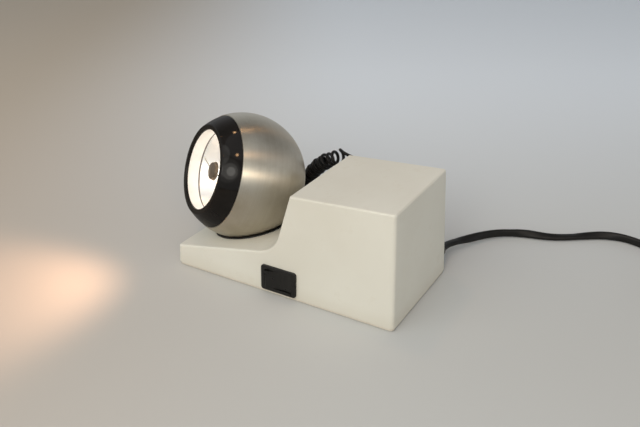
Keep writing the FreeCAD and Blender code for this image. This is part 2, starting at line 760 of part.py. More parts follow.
# ---------------------------------------------------------------- mains terminals and cord clamp
terminals = make_body("terminal_block")
block_pad = pad(terminals, box(terminals, "block_plan", "XY", "block_x", "block_y",
    "block_x+block_length", "block_y+block_pitch*3", "seam_height"), "block_height")
well_x = "(block_x+block_length/2)"
wells = [(well_x, f"block_y+block_pitch*{step}") for step in ("0.5", "1.5", "2.5")]
pocket(terminals, circles(terminals, "screw_wells", "XY", wells, "2.1", "seam_height+block_height"), "4")
round_edges(terminals, terminals.Tip, "0.8", lambda edge: abs(direction(edge).z) > 0.9
    and abs(edge.CenterOfMass.x - number(well_x)) > 3)
terminal_screw = turned("terminal_screw", [
    ("0", "0"), ("1.9", "0"), ("1.9", "2.4"), ("1.5", "2.8"), ("0", "2.8")], node=False)
copies("terminal_screws", terminal_screw, [(x, y, "seam_height+block_height-4") for x, y in wells])

saddle_mid = "(saddle_x+saddle_length/2)"
grip = "(mains_radius+slip_gap)"
split = "(mains_exit_z)"
saddle = make_body("cord_saddle")
pad(saddle, outline(saddle, "saddle_side", "YZ", [
    ("mains_exit_y-saddle_half", "seam_height"),
    ("mains_exit_y+saddle_half", "seam_height"),
    ("mains_exit_y+saddle_half", f"{split}-0.4"),
    (f"mains_exit_y+sqrt({grip}^2-0.16)", f"{split}-0.4"),
    (f"mains_exit_y-sqrt({grip}^2-0.16)", f"{split}-0.4", grip, -1),
    ("mains_exit_y-saddle_half", f"{split}-0.4"),
], "saddle_x"), "saddle_length")
saddle_bores = [(saddle_mid, "mains_exit_y-saddle_screw"), (saddle_mid, "mains_exit_y+saddle_screw")]
pocket(saddle, circles(saddle, "saddle_bores", "XY", saddle_bores, "small_shank+screw_gap",
    f"{split}-0.4"), "3.4")
clamp_bar = make_body("cord_clamp")
pad(clamp_bar, outline(clamp_bar, "bar_side", "YZ", [
    ("mains_exit_y-saddle_half", f"{split}+0.4"),
    (f"mains_exit_y-sqrt({grip}^2-0.16)", f"{split}+0.4"),
    (f"mains_exit_y+sqrt({grip}^2-0.16)", f"{split}+0.4", grip, -1),
    ("mains_exit_y+saddle_half", f"{split}+0.4"),
    ("mains_exit_y+saddle_half", f"{split}+2.4"),
    ("mains_exit_y+mains_radius+1.6", f"{split}+4.6"),
    ("mains_exit_y-mains_radius-1.6", f"{split}+4.6"),
    ("mains_exit_y-saddle_half", f"{split}+2.4"),
], "saddle_x"), "saddle_length")
pocket(clamp_bar, circles(clamp_bar, "bar_holes", "XY", saddle_bores, "small_shank+0.3",
    f"{split}-1"), reverse=True)
seat_face = f"{split}+3.1"
pocket(clamp_bar, circles(clamp_bar, "bar_seats", "XY", saddle_bores, "small_head+0.1", seat_face),
    "5", reverse=True)
clamp_bolt = screw("clamp_bolt", "small_head", "1.6", "small_shank", "6")
copies("clamp_screws", clamp_bolt, [(x, y, seat_face) for x, y in saddle_bores],
    FreeCAD.Rotation(across_x, 180))

# ---------------------------------------------------------------- rocker switch
frame = make_body("switch_frame")
bezel = pad(frame, box(frame, "bezel_plan", "XY", "-bezel_length/2", "-bezel_width/2",
    "bezel_length/2", "bezel_width/2"), "bezel_proud")
corners = round_edges(frame, bezel, "2.4", lambda edge: abs(direction(edge).z) > 0.9)
round_edges(frame, corners, "0.7", lambda edge: edge.BoundBox.ZMin > number("bezel_proud") - 0.1)
pad(frame, box(frame, "housing_plan", "XY", "-housing_length/2", "-housing_width/2",
    "housing_length/2", "housing_width/2"), "housing_depth", reverse=True)
window_half = "(rocker_width/2+running_gap)"
pocket(frame, box(frame, "rocker_window", "XY", "-rocker_window/2", f"-{window_half}",
    "rocker_window/2", window_half, "bezel_proud"), "bezel_proud+housing_depth-4")
pocket(frame, circles(frame, "axle_bore", "XZ", [("0", "-rocker_pivot")], "axle_radius+axle_gap"),
    f"{window_half}*2+axle_reach", both=True)
in_wall(frame)

rocker = make_body("switch_rocker")
half = "(rocker_length/2)"
pad(rocker, outline(rocker, "rocker_side", "XZ", [
    (f"-{half}*0.45", "-5.5"),
    (f"{half}*0.45", "-5.5"),
    (f"{half}-0.6", "rocker_pivot-1.6"),
    (half, "rocker_pivot+rocker_crest-0.7"),
    (f"{half}-0.7", "rocker_pivot+rocker_crest", "0.7", 1),
    ("-" + half + "+0.7", "rocker_pivot+rocker_crest", "rocker_length*1.6", -1),
    ("-" + half, "rocker_pivot+rocker_crest-0.7", "0.7", 1),
    (f"-{half}+0.6", "rocker_pivot-1.6"),
]), "rocker_width", both=True)
pad(rocker, circles(rocker, "axles", "XZ", [("0", "0")], "axle_radius"), "rocker_width+axle_reach", both=True)
rocker_turn = wall_turn.multiply(FreeCAD.Rotation(FreeCAD.Vector(0, 1, 0), number("rocker_tilt")))
place(rocker, f"{switch_x}-rocker_pivot*cos(draft)", "switch_y", "switch_z-rocker_pivot*sin(draft)", rocker_turn)

tab = make_body("switch_tab", node=False)
tab_pad = pad(tab, box(tab, "tab_plan", "XY", "-0.4", "-3.15", "0.4", "3.15"), "tab_length", reverse=True)
round_edges(tab, tab_pad, "1", lambda edge: abs(direction(edge).x) > 0.9
    and edge.CenterOfMass.z < -1, "PartDesign::Chamfer")
tab_places = []
for along in ("-7", "0", "7"):
    tab_places.append((f"{switch_x}-housing_depth*cos(draft)", f"switch_y+({along})",
        "switch_z-housing_depth*sin(draft)"))
copies("switch_tabs", tab, tab_places, wall_turn)

# ---------------------------------------------------------------- ball
opening = on_sphere("ball_radius", "ring_start")
inner_opening = on_sphere(inner_radius, "ring_start")
gland_hole = "(gland_radius+slip_gap)"
in_head(turned("ball_shell", [
    (gland_hole, on_sphere("ball_radius", gland_hole, "-")),
    (opening, "ring_start", "ball_radius", 1),
    (inner_opening, "ring_start"),
    (gland_hole, on_sphere(inner_radius, gland_hole, "-"), inner_radius, -1),
]))

# Front ring: its outside carries on the ball's curve, a little inside it, as far as the flat lip.
# Behind the lip a counterbore locates the sleeve, and a spigot plugs into the ball.
ring_curve = "(ball_radius-ring_inset)"
ring_out = on_sphere(ring_curve, "ring_start+0.5")
lip_outer = on_sphere(ring_curve, "ring_front-0.8")
sleeve_outer = "(mouth_radius+sleeve_wall)"
spigot_outer = f"({inner_opening}-slip_gap)"
ring = turned("front_ring", [
    (f"{ring_out}-0.5", "ring_start"),
    (ring_out, "ring_start+0.5", "0.5", 1),
    (lip_outer, "ring_front-0.8", ring_curve, 1),
    (f"{lip_outer}-1.4", "ring_front", "1.5", 1),
    ("mouth_radius+0.8", "ring_front"),
    ("mouth_radius", "ring_front-0.8", "0.8", 1),
    ("mouth_radius", "ring_front-ring_lip"),
    (f"{sleeve_outer}+slip_gap", "ring_front-ring_lip"),
    (f"{sleeve_outer}+slip_gap", "ring_front-ring_lip-1.6"),
    (f"{spigot_outer}-2", "ring_start+1"),
    (f"{spigot_outer}-2", "ring_start-spigot_depth"),
    (f"{spigot_outer}-0.8", "ring_start-spigot_depth"),
    (spigot_outer, "ring_start-spigot_depth+1"),
    (spigot_outer, "ring_start"),
])
slot = make_sketch(ring, "spigot_slots", "XZ")
for side in ("", "-"):
    outline(ring, "spigot_slots", "XZ", [
        (f"{side}5", "ring_start-spigot_depth-1"),
        (f"{side}7", "ring_start-spigot_depth-1"),
        (f"{side}7", "ring_start-1"),
        (f"{side}5", "ring_start-1"),
    ], sketch=slot)
pocket(ring, slot, both=True)
in_head(ring)

sleeve_back = "(ring_front-ring_lip-slip_gap)"
in_head(turned("inner_sleeve", [
    ("mouth_radius+0.3", sleeve_back),
    ("mouth_radius+0.5", "sleeve_end"),
    ("lamp_radius+1.4", "sleeve_end"),
    ("lamp_radius+1.4", "sleeve_end+1.2"),
    (sleeve_outer, "sleeve_end+1.2"),
    (sleeve_outer, sleeve_back),
]))

# ---------------------------------------------------------------- reflector lamp
# The bowl follows a parabola with its focus at the filament, drawn as two tangent-looking arcs.
bowl_open = "(lamp_radius-1.6)"
bowl_focus = "(lamp_radius^2*0.911/(4*(sleeve_end+9.8)))"
bowl_vertex = "(sleeve_end-0.2-{r}^2/(4*{f}))".format(r=bowl_open, f=bowl_focus)
bowl_mid = "(lamp_radius*0.586)"


def bowl_height(r):
    return f"({bowl_vertex}+({r})^2/(4*{bowl_focus}))"


rim = "(sleeve_end-0.2)"
in_head(turned("lamp_reflector", [
    ("lamp_radius", rim),
    (bowl_open, rim),
    (bowl_mid, bowl_height(bowl_mid), "lamp_radius*3.35", -1),
    ("neck_radius", bowl_height("neck_radius"), "lamp_radius*1.09", -1),
    ("neck_radius", f"{bowl_height('neck_radius')}-4"),
    ("neck_radius+lamp_wall", f"{bowl_height('neck_radius')}-4"),
    ("neck_radius+lamp_wall", f"{bowl_height('neck_radius')}-lamp_wall*0.6"),
    (f"{bowl_mid}+lamp_wall*0.75", f"{bowl_height(bowl_mid)}-lamp_wall*0.66", "lamp_radius*1.11", 1),
    (f"{bowl_open}+lamp_wall", f"{rim}-lamp_wall", "lamp_radius*3.37", 1),
    ("lamp_radius", f"{rim}-lamp_wall"),
]))
base_top = f"({bowl_height('neck_radius')}-1.5)"
lamp_cap = turned("lamp_base", [
    ("0", base_top),
    ("neck_radius-slip_gap", base_top),
    ("neck_radius-slip_gap", f"{bowl_height('neck_radius')}-4"),
    ("bayonet_radius", f"{bowl_height('neck_radius')}-4"),
    ("bayonet_radius", "1-bayonet_back"),
    ("bayonet_radius-1", "-bayonet_back"),
    ("0", "-bayonet_back"),
])
pin_height = "(6-bayonet_back)"
pad(lamp_cap, circles(lamp_cap, "bayonet_pins", "YZ", [("0", pin_height)], "1"),
    "(bayonet_radius+1.3)*2", both=True)
in_head(lamp_cap)
in_head(turned("lamp_capsule", [
    ("0", base_top),
    ("capsule_radius", base_top),
    ("capsule_radius", "capsule_tip-capsule_radius"),
    ("0", "capsule_tip", "capsule_radius", 1),
]))
in_head(turned("glare_cap", [
    ("0", "cap_front-1"),
    ("cap_radius-1.6", "cap_front-1.6"),
    ("cap_radius-0.7", "cap_front-3.4"),
    ("cap_radius", "cap_front-3.4"),
    ("cap_radius-0.9", "cap_front-0.9"),
    ("0", "cap_front"),
]))

# Two wires hold the cap in front of the capsule. They end a hair short of the cap and the bowl.
wire_out = "(bowl_open-0.9)"
wires = []
leg_start = (number("cap_radius+0.05"), number("cap_front-2.6"))
leg_end = (number(bowl_open) - 0.75, number(bowl_height(f"({bowl_open}-0.75)")) - 0.5)
leg_span = FreeCAD.Vector(leg_end[0] - leg_start[0], 0, leg_end[1] - leg_start[1])
for index, turn in enumerate((0, 180)):
    leg = doc.addObject("Part::Cylinder", "cap_wire_%d" % (index + 1))
    leg.setExpression("Radius", bound("wire_radius"))
    leg.Height = leg_span.Length - 0.55
    spin = FreeCAD.Rotation(upright, turn)
    lean = FreeCAD.Rotation(upright, leg_span)
    base = spin.multVec(FreeCAD.Vector(leg_start[0], 0, leg_start[1]))
    leg.Placement = FreeCAD.Placement(base, spin.multiply(lean))
    wires.append(leg)
cap_wires = doc.addObject("Part::Compound", "cap_wires")
cap_wires.Links = wires
in_head(cap_wires)
nodes.append(cap_wires)

# ---------------------------------------------------------------- lampholder, bracket and gland
holder_front = f"({bowl_height('neck_radius')}-4.8)"
bore = "(bayonet_radius+0.15)"
holder = turned("lamp_holder", [
    (bore, holder_front),
    ("holder_radius", holder_front),
    ("holder_radius", "2.5-holder_back"),
    ("holder_flange", "2.5-holder_back"),
    ("holder_flange", "-holder_back"),
    ("0", "-holder_back"),
    ("0", "-bayonet_back-slip_gap"),
    (bore, "-bayonet_back-slip_gap"),
])
pin_slots = box(holder, "pin_slots", "YZ", "-1.15", f"{pin_height}-1.15", "1.15", "0")
pocket(holder, pin_slots, both=True)
holder_screw_places = [("0", "-holder_screw_radius"), ("0", "holder_screw_radius")]
pocket(holder, circles(holder, "flange_holes", "XY", holder_screw_places, "1.35", "1-holder_back+3"),
    "6")
in_head(holder)

lip = "(-holder_back-bracket_sheet)"
bracket = turned("holder_bracket", [
    ("gland_radius+slip_gap", "-bracket_back"),
    ("holder_flange-2.7", "-bracket_back"),
    ("holder_flange+0.5", "3.2-bracket_back"),
    ("holder_flange+0.5", "-holder_back"),
    ("holder_screw_radius-2.6", "-holder_back"),
    ("holder_screw_radius-2.6", lip),
    ("holder_flange+0.5-bracket_sheet", lip),
    ("holder_flange+0.5-bracket_sheet", "3.7-bracket_back"),
    ("holder_flange-3.2", "bracket_sheet-bracket_back"),
    ("gland_radius+slip_gap", "bracket_sheet-bracket_back"),
])
pocket(bracket, box(bracket, "wire_windows", "YZ", "-6", "4.6-bracket_back", "6", f"{lip}-1.2"), both=True)
pocket(bracket, circles(bracket, "lip_holes", "XY", holder_screw_places, "1.25", "2-holder_back"), "5")
in_head(bracket)
holder_screw = screw("holder_screw", "1.9", "1.5", "1.2", "6.5")
screws = []
for index, y in enumerate(("-holder_screw_radius", "holder_screw_radius")):
    link = doc.addObject("App::Link", "holder_screw_%d" % (index + 1))
    link.LinkedObject = holder_screw
    screws.append(place(link, "0", y, "2.5-holder_back", FreeCAD.Rotation(across_x, 180)))
holder_screws = doc.addObject("Part::Compound", "holder_screws")
holder_screws.Links = screws
in_head(holder_screws)
nodes.append(holder_screws)

in_head(turned("head_gland", [
    ("cord_radius+slip_gap", "-ball_radius-gland_nose"),
    ("cord_radius+1.8", "-ball_radius-gland_nose"),
    ("gland_radius-0.2", "-ball_radius-2.6"),
    ("gland_flange-0.6", "-ball_radius-1.9"),
    ("gland_flange", on_sphere("ball_radius", "gland_flange", "-") + "-1"),
    ("gland_flange", on_sphere("ball_radius+0.02", "gland_flange", "-")),
    ("gland_radius", on_sphere("ball_radius+0.02", "gland_radius", "-"), "ball_radius+0.02", -1),
    ("gland_radius", "8.4-ball_radius"),
    ("cord_radius+slip_gap", "8.4-ball_radius"),
]))
nut = make_body("gland_nut")
apex = "(nut_width/sqrt(3))"
nut_low = "(bracket_sheet-bracket_back)"
pad(nut, outline(nut, "nut_plan", "XY", [
    (apex, "0"),
    (f"{apex}/2", "nut_width/2"),
    (f"-{apex}/2", "nut_width/2"),
    ("-" + apex, "0"),
    (f"-{apex}/2", "-nut_width/2"),
    (f"{apex}/2", "-nut_width/2"),
], nut_low), "3.4")
pocket(nut, circles(nut, "nut_bore", "XY", [("0", "0")], "gland_radius+screw_gap", nut_low), reverse=True)
in_head(nut)

# ---------------------------------------------------------------- cord bushes
sideways = FreeCAD.Rotation(FreeCAD.Vector(0, 1, 0), -90)


def wall_bush(label, y, z, cord, neck, flange, nose, tip):
    """A bush in the far side wall: a flange outside, a neck through the wall, a lip inside."""
    bush = turned(label, [
        (f"{cord}+slip_gap", "-wall-1.8"),
        (f"{neck}+0.4", "-wall-1.8"),
        (f"{neck}+1", "-wall-0.3"),
        (neck, "-wall-0.3"),
        (neck, "0.3"),
        (flange, "0.3"),
        (flange, "bush_sheet-0.6"),
        (f"{flange}-0.6", "bush_sheet"),
        (f"{tip}+0.5", "bush_sheet"),
        (tip, nose),
        (f"{cord}+slip_gap", nose),
    ])
    return place(bush, f"-{side_x(z)}", y, z, sideways)


wall_bush("cord_bush", "cord_exit_y", "cord_exit_z", "cord_radius", "(cord_radius+2.8)",
    "(cord_radius+5.6)", "cord_nose", "(cord_radius+1.6)")
wall_bush("mains_bush", "mains_exit_y", "mains_exit_z", "mains_radius", "(mains_radius+1.6)",
    "(mains_radius+3.2)", "boot_length", "(mains_radius+1.2)")

# ---------------------------------------------------------------- cords
def tube(label, points, radius):
    """A cord of round section: straight runs joined by tangent arcs."""
    places = [FreeCAD.Vector(*(number(c) if isinstance(c, str) else c for c in p)) for p in points]
    edges = []
    last = places[0]
    radii = []
    for before, corner, after in zip(places, places[1:], places[2:]):
        arriving = (corner - before).normalize()
        leaving = (after - corner).normalize()
        half_turn = arriving.getAngle(leaving) / 2
        reach = 0.45 * min((corner - before).Length, (after - corner).Length)
        radii.append(round(reach / math.tan(half_turn), 1))
        start = corner - arriving * reach
        end = corner + leaving * reach
        inward = (leaving - arriving).normalize()
        gap = radii[-1] and reach / math.tan(half_turn) * (1 / math.cos(half_turn) - 1)
        edges.append(Part.LineSegment(last, start).toShape())
        edges.append(Part.Arc(start, corner + inward * gap, end).toShape())
        last = end
    edges.append(Part.LineSegment(last, places[-1]).toShape())
    path = Part.Wire(edges)
    size = number(radius)
    section = Part.Wire(Part.Circle(places[0], places[1] - places[0], size).toShape())
    cord = doc.addObject("Part::Feature", label)
    cord.Shape = path.makePipeShell([section], True, True)
    share = cord.Shape.Volume / (math.pi * size**2 * path.Length)
    print("%s: %.0f mm, radii %s, volume %.3f of section times length" % (label, path.Length, radii, share))
    nodes.append(cord)
    return cord


beam_back = beam_turn.multVec(FreeCAD.Vector(0, 0, -1))
ball_centre = FreeCAD.Vector(0, number(ball_y), number(ball_z))
gland_tip = ball_centre + beam_back * number("ball_radius+gland_nose")
gland_out = gland_tip + beam_back * 5.5
cord_wall = f"(-{side_x('cord_exit_z')})"
mains_wall = f"(-{side_x('mains_exit_z')})"
cord_tip = (f"{cord_wall}-cord_nose", "cord_exit_y", "cord_exit_z")
boot_tip = (f"{mains_wall}-boot_length", "mains_exit_y", "mains_exit_z")

# Curly cord from the ball to the far wall: a plain lead-in, the coil as one fat tube and the tail.
curl_start = (-59.0, -20.4, 54.9)
curl_end = (-52.3, 9.9, 79.1)
tube("curly_lead_in", [tuple(gland_tip), tuple(gland_out), (-55.2, -22.2, 45.9), (-59.5, -21.8, 49.9),
    curl_start], "cord_radius")
tube("curly_coil", [curl_start, (-58.6, -18.9, 60.0), (-57.1, -15.6, 64.5), (-55.4, -10.3, 68.8),
    (-53.8, -3.7, 73.3), (-52.9, 2.6, 76.3), curl_end], "curl_radius")
tube("curly_tail", [curl_end, (-51.9, 14.8, 81.0), (-53.8, 20.8, 81.7), (-57.8, 27.2, 78.2),
    (-61.9, 33.2, 71.4), (-65.2, 39.1, 63.0), (-67.1, 44.9, 54.2), (-66.0, 49.1, 46.8),
    (f"{cord_tip[0]}-7", cord_tip[1], cord_tip[2]), cord_tip], "cord_radius")
winding_x = f"(core_x-{second_x})"
tube("secondary_tail", [cord_tip, (winding_x, cord_tip[1], cord_tip[2])], "cord_radius")

# Mains lead: clamped inside, then over the table to the hank.
tube("mains_tail", [("block_x", boot_tip[1], boot_tip[2]), boot_tip], "mains_radius")
table = "(mains_radius+0.2)"
hank_enter_x = "(hank_x-hank_outer+mains_radius)"
stub = "23"
leave = "26"
tube("mains_lead", [
    boot_tip,
    (f"{boot_tip[0]}-6", boot_tip[1], boot_tip[2]),
    (-82.3, 97.3, 4.3),
    (-89.4, 101.3, 3.1),
    (-98.7, 106.9, table),
    (-110.5, 113.5, table),
    (-123.4, 122.9, table),
    (-131.9, 133.8, table),
    (-137.6, 145.7, table),
    (-140.7, 158.2, table),
    (-145.8, 170.1, table),
    (-153.4, 181.3, table),
    (-161.5, 192.5, table),
    (-168.1, 204.0, table),
    (-171.1, 216.3, table),
    (-170.8, 225.9, table),
    (-167.6, 236.9, table),
    (-163.8, 249.5, table),
    (-160.6, 262.5, table),
    (hank_enter_x, "hank_y-34", table),
    (hank_enter_x, f"hank_y-{stub}", table),
], "mains_radius")

# The spare length lies as a neat hank, with the plug on its end beside it.
hank = make_body("mains_hank")
hank_ring = revolve(hank, outline(hank, "hank_section", "XZ", [
    ("hank_inner+3", "0.2"),
    ("hank_outer-3", "0.2"),
    ("hank_outer", "3.2", "3", 1),
    ("hank_outer", "hank_height-3"),
    ("hank_outer-3", "hank_height", "3", 1),
    ("hank_inner+3", "hank_height"),
    ("hank_inner", "hank_height-3", "3", 1),
    ("hank_inner", "3.2"),
]))
hank_enter = circles(hank, "hank_enter", "XZ", [("mains_radius-hank_outer", table)], "mains_radius")
pad(hank, hank_enter, stub)
leave_y = "(hank_outer-mains_radius-0.5)"
pad(hank, circles(hank, "hank_leave", "YZ", [(leave_y, "plug_height/2")], "mains_radius"), leave)
place(hank, "hank_x", "hank_y", "0")

plug = make_body("mains_plug")
plug_half = "(plug_width/2)"
plug_sketch = outline(plug, "plug_plan", "XY", [
    ("-mains_radius-1.4", "0"),
    ("mains_radius+1.4", "0"),
    (f"{plug_half}*0.55", "plug_length*0.42"),
    (plug_half, "plug_length*0.66"),
    (plug_half, "plug_length"),
    ("-" + plug_half, "plug_length"),
    ("-" + plug_half, "plug_length*0.66"),
    (f"-{plug_half}*0.55", "plug_length*0.42"),
], "0.2")
plug_pad = pad(plug, plug_sketch, "plug_height-0.2")
round_edges(plug, plug_pad, "1.5", lambda edge: abs(direction(edge).z) < 0.1
    and edge.CenterOfMass.y > number("plug_length")*0.5)
place(plug, f"hank_x+{leave}", f"hank_y+{leave_y}", "0", FreeCAD.Rotation(upright, -90))
prong = turned("prong", [
    ("0", "0"), ("pin_radius", "0"), ("pin_radius", "pin_length-1.2"), ("pin_radius-1.2", "pin_length", "1.2", 1),
    ("0", "pin_length")], node=False)
copies("plug_pins", prong, [
    (f"hank_x+{leave}+plug_length", f"hank_y+{leave_y}{side}pin_pitch/2", "plug_height/2")
    for side in ("-", "+")
], FreeCAD.Rotation(FreeCAD.Vector(0, 1, 0), 90))

# ---------------------------------------------------------------- check and write
doc.recompute()
for piece in doc.Objects:
    if "Invalid" in piece.State or "Error" in piece.State:
        raise RuntimeError("%s is %s" % (piece.Label, piece.State))
for piece in nodes:
    if piece.Shape.isNull() or not piece.Shape.isValid():
        raise RuntimeError("%s has no valid shape" % piece.Label)
os.makedirs("parts", exist_ok=True)
for piece in nodes:
    piece.Shape.exportStep("parts/%s.step" % piece.Label)
print(len(nodes), "pieces written")
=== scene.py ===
import math

import bmesh
import bpy
import numpy as np
from mathutils import Matrix, Vector


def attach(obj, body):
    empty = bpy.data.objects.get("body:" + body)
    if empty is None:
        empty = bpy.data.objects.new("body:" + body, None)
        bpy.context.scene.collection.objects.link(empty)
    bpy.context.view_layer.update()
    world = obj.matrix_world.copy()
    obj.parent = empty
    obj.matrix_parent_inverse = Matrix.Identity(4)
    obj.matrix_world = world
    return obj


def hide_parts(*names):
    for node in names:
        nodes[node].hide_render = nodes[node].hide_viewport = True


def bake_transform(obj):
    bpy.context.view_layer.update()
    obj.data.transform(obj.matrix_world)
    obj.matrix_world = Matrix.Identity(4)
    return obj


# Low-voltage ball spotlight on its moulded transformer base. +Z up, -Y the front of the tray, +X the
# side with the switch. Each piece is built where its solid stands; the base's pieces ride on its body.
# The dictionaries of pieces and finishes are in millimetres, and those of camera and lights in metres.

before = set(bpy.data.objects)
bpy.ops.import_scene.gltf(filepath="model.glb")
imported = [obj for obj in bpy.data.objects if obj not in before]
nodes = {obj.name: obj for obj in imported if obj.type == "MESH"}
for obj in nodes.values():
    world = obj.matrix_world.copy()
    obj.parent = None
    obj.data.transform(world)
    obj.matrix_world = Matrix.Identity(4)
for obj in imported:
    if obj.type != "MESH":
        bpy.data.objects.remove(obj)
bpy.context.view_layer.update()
print("frame loaded:", len(nodes), "solids")


# camera

cameraSetup = {
    "place": (0.4469, 0.2790, 0.3123),
    "towards": (0.7709, 0.4503, 0.4504),  # from the object back to the camera
    "roll": -0.14,  # degrees
    "lens": 41.9,  # this and the sensor's width are in millimetres
    "sensor": 36,
    "nearest": 0.01,
}


def makeCamera(setup):
    back = Vector(setup["towards"]).normalized()
    right = Vector((0, 0, 1)).cross(back).normalized()
    up = back.cross(right)
    turn = Matrix.Rotation(math.radians(setup["roll"]), 3, back)
    axes = turn @ Matrix((right, up, back)).transposed()
    data = bpy.data.cameras.new("camera")
    data.lens = setup["lens"]
    data.sensor_width = setup["sensor"]
    data.clip_start = setup["nearest"]
    camera = bpy.data.objects.new("camera", data)
    camera.matrix_world = Matrix.Translation(setup["place"]) @ axes.to_4x4()
    bpy.context.collection.objects.link(camera)
    bpy.context.scene.camera = camera


makeCamera(cameraSetup)
print("camera placed")


# colours and nodes

def linear(code):
    # a six-figure sRGB hex value as linear red, green, blue and alpha
    parts = [int(code.lstrip("#")[k:k + 2], 16) / 255 for k in (0, 2, 4)]
    return (*(c / 12.92 if c <= 0.04045 else ((c + 0.055) / 1.055) ** 2.4 for c in parts), 1)


def addNode(tree, kind, inputs=None, **settings):
    # adds a node with its settings, and sets or links its inputs by name or number
    node = tree.nodes.new(kind)
    for name, value in settings.items():
        setattr(node, name, value)
    for key, value in (inputs or {}).items():
        if isinstance(value, bpy.types.NodeSocket):
            tree.links.new(value, node.inputs[key])
        else:
            node.inputs[key].default_value = value
    return node


def startMaterial(name):
    # an empty material, its node tree and the object's own coordinates
    material = bpy.data.materials.new(name)
    material.use_nodes = True
    tree = material.node_tree
    tree.nodes.clear()
    return material, tree, addNode(tree, "ShaderNodeTexCoord").outputs["Object"]


def shaded(material, inputs):
    # gives the material its shader, with what it takes by name, and hands it back
    tree = material.node_tree
    shader = addNode(tree, "ShaderNodeBsdfPrincipled", inputs)
    addNode(tree, "ShaderNodeOutputMaterial", {"Surface": shader.outputs[0]})
    return material


def varied(tree, place, first, second, size):
    # two close colours mixed in soft patches about size millimetres wide
    noise = addNode(tree, "ShaderNodeTexNoise", {"Vector": place, "Scale": 1000 / size, "Detail": 3})
    share = addNode(tree, "ShaderNodeMapRange", {
        "Value": noise.outputs["Fac"], "From Min": 0.35, "From Max": 0.65})
    mixed = addNode(tree, "ShaderNodeMix", {0: share.outputs[0], 6: linear(first), 7: linear(second)},
                    data_type="RGBA")
    return mixed.outputs[2]


def roughened(tree, place, size, low, high):
    # roughness that wanders between two values in patches about size millimetres wide
    noise = addNode(tree, "ShaderNodeTexNoise", {"Vector": place, "Scale": 1000 / size, "Detail": 4})
    span = addNode(tree, "ShaderNodeMapRange", {
        "Value": noise.outputs["Fac"], "From Min": 0.3, "From Max": 0.7, "To Min": low, "To Max": high})
    return span.outputs[0]


def grained(tree, place, size, strength, depth):
    # fine bump; the size and depth of a grain are in millimetres
    noise = addNode(tree, "ShaderNodeTexNoise", {"Vector": place, "Scale": 1000 / size, "Detail": 2})
    bump = addNode(tree, "ShaderNodeBump", {
        "Height": noise.outputs["Fac"], "Strength": strength, "Distance": depth / 1000})
    return bump.outputs[0]


# mesh helpers

def meshPiece(name, verts, faces, smooth=True):
    mesh = bpy.data.meshes.new(name)
    mesh.from_pydata([tuple(v) for v in verts], [], [tuple(f) for f in faces])
    mesh.validate()
    mesh.polygons.foreach_set("use_smooth", [smooth] * len(mesh.polygons))
    piece = bpy.data.objects.new(name, mesh)
    bpy.context.collection.objects.link(piece)
    return piece


def splineLine(points, fineness=12):
    # the line of a smooth spline through its control points, read from a curve with no bevel
    curve = bpy.data.curves.new("route", "CURVE")
    curve.dimensions = "3D"
    spline = curve.splines.new("NURBS")
    spline.points.add(len(points) - 1)
    for knot, point in zip(spline.points, points):
        knot.co = (*point, 1)
    spline.order_u = 3
    spline.use_endpoint_u = True
    curve.resolution_u = fineness
    holder = bpy.data.objects.new("route", curve)
    mesh = bpy.data.meshes.new_from_object(holder)
    line = np.array([v.co for v in mesh.vertices])
    bpy.data.meshes.remove(mesh)
    bpy.data.objects.remove(holder)
    bpy.data.curves.remove(curve)
    return line


def alongLine(line):
    # the distance walked to each point
    return np.concatenate([[0], np.cumsum(np.linalg.norm(np.diff(line, axis=0), axis=1))])


def evenLine(line, step):
    # the same line with its points a step apart
    walked = alongLine(line)
    stops = np.linspace(0, walked[-1], max(2, int(round(walked[-1] / step)) + 1))
    return np.column_stack([np.interp(stops, walked, line[:, k]) for k in range(3)])


def lineFrames(line, upright):
    # side and normal at each point: level with the table, or carried along without twist
    tangent = np.gradient(line, axis=0)
    tangent /= np.linalg.norm(tangent, axis=1)[:, None]
    side = np.zeros_like(line)
    carried = np.cross((0, 0, 1), tangent[0])
    if np.linalg.norm(carried) < 0.1:  # the line starts straight up
        carried = np.cross((0, 1, 0), tangent[0])
    for k, t in enumerate(tangent):
        found = np.cross((0, 0, 1), t) if upright else carried - t * (carried @ t)
        carried = found / np.linalg.norm(found)
        side[k] = carried
    return side, np.cross(tangent, side)


def sweep(line, section, roll=None, upright=False):
    # a ring of the section at each point of the line, turned by the roll there
    side, normal = lineFrames(line, upright)
    roll = np.zeros(len(line)) if roll is None else roll
    c, s = np.cos(roll)[:, None], np.sin(roll)[:, None]
    across, over = side * c + normal * s, normal * c - side * s
    return line[:, None] + across[:, None] * section[:, :1] + over[:, None] * section[:, 1:]


def ringTube(name, rings):
    # rings of points joined in order, with a flat cap at each end
    count, around = rings.shape[:2]
    faces = []
    for k in range(count - 1):
        for i in range(around):
            j = (i + 1) % around
            faces.append((k * around + i, (k + 1) * around + i, (k + 1) * around + j, k * around + j))
    faces.append(tuple(range(around)))
    faces.append(tuple(reversed(range((count - 1) * around, count * around))))
    return meshPiece(name, rings.reshape(-1, 3), faces)


def fullTurn(count):
    # evenly spaced angles round a circle
    return np.linspace(0, 2 * math.pi, count, endpoint=False)


def roundSection(radius, around):
    turn = fullTurn(around)
    return np.column_stack([np.cos(turn), np.sin(turn)]) * radius


def flatSection(width, thickness, around):
    # two half rounds joined by flats
    turn = fullTurn(around)
    reach = width / 2 - thickness / 2
    x, y = np.cos(turn) * thickness / 2, np.sin(turn) * thickness / 2
    return np.column_stack([x + np.where(x >= 0, reach, -reach), y])


def softSquare(width, height, fullness=3.6, around=40):
    # a rounded rectangle, rounder where fullness is lower
    turn = fullTurn(around)
    c, s = np.cos(turn), np.sin(turn)
    return np.column_stack([np.sign(c) * np.abs(c) ** (2 / fullness) * width / 2,
                            np.sign(s) * np.abs(s) ** (2 / fullness) * height / 2])


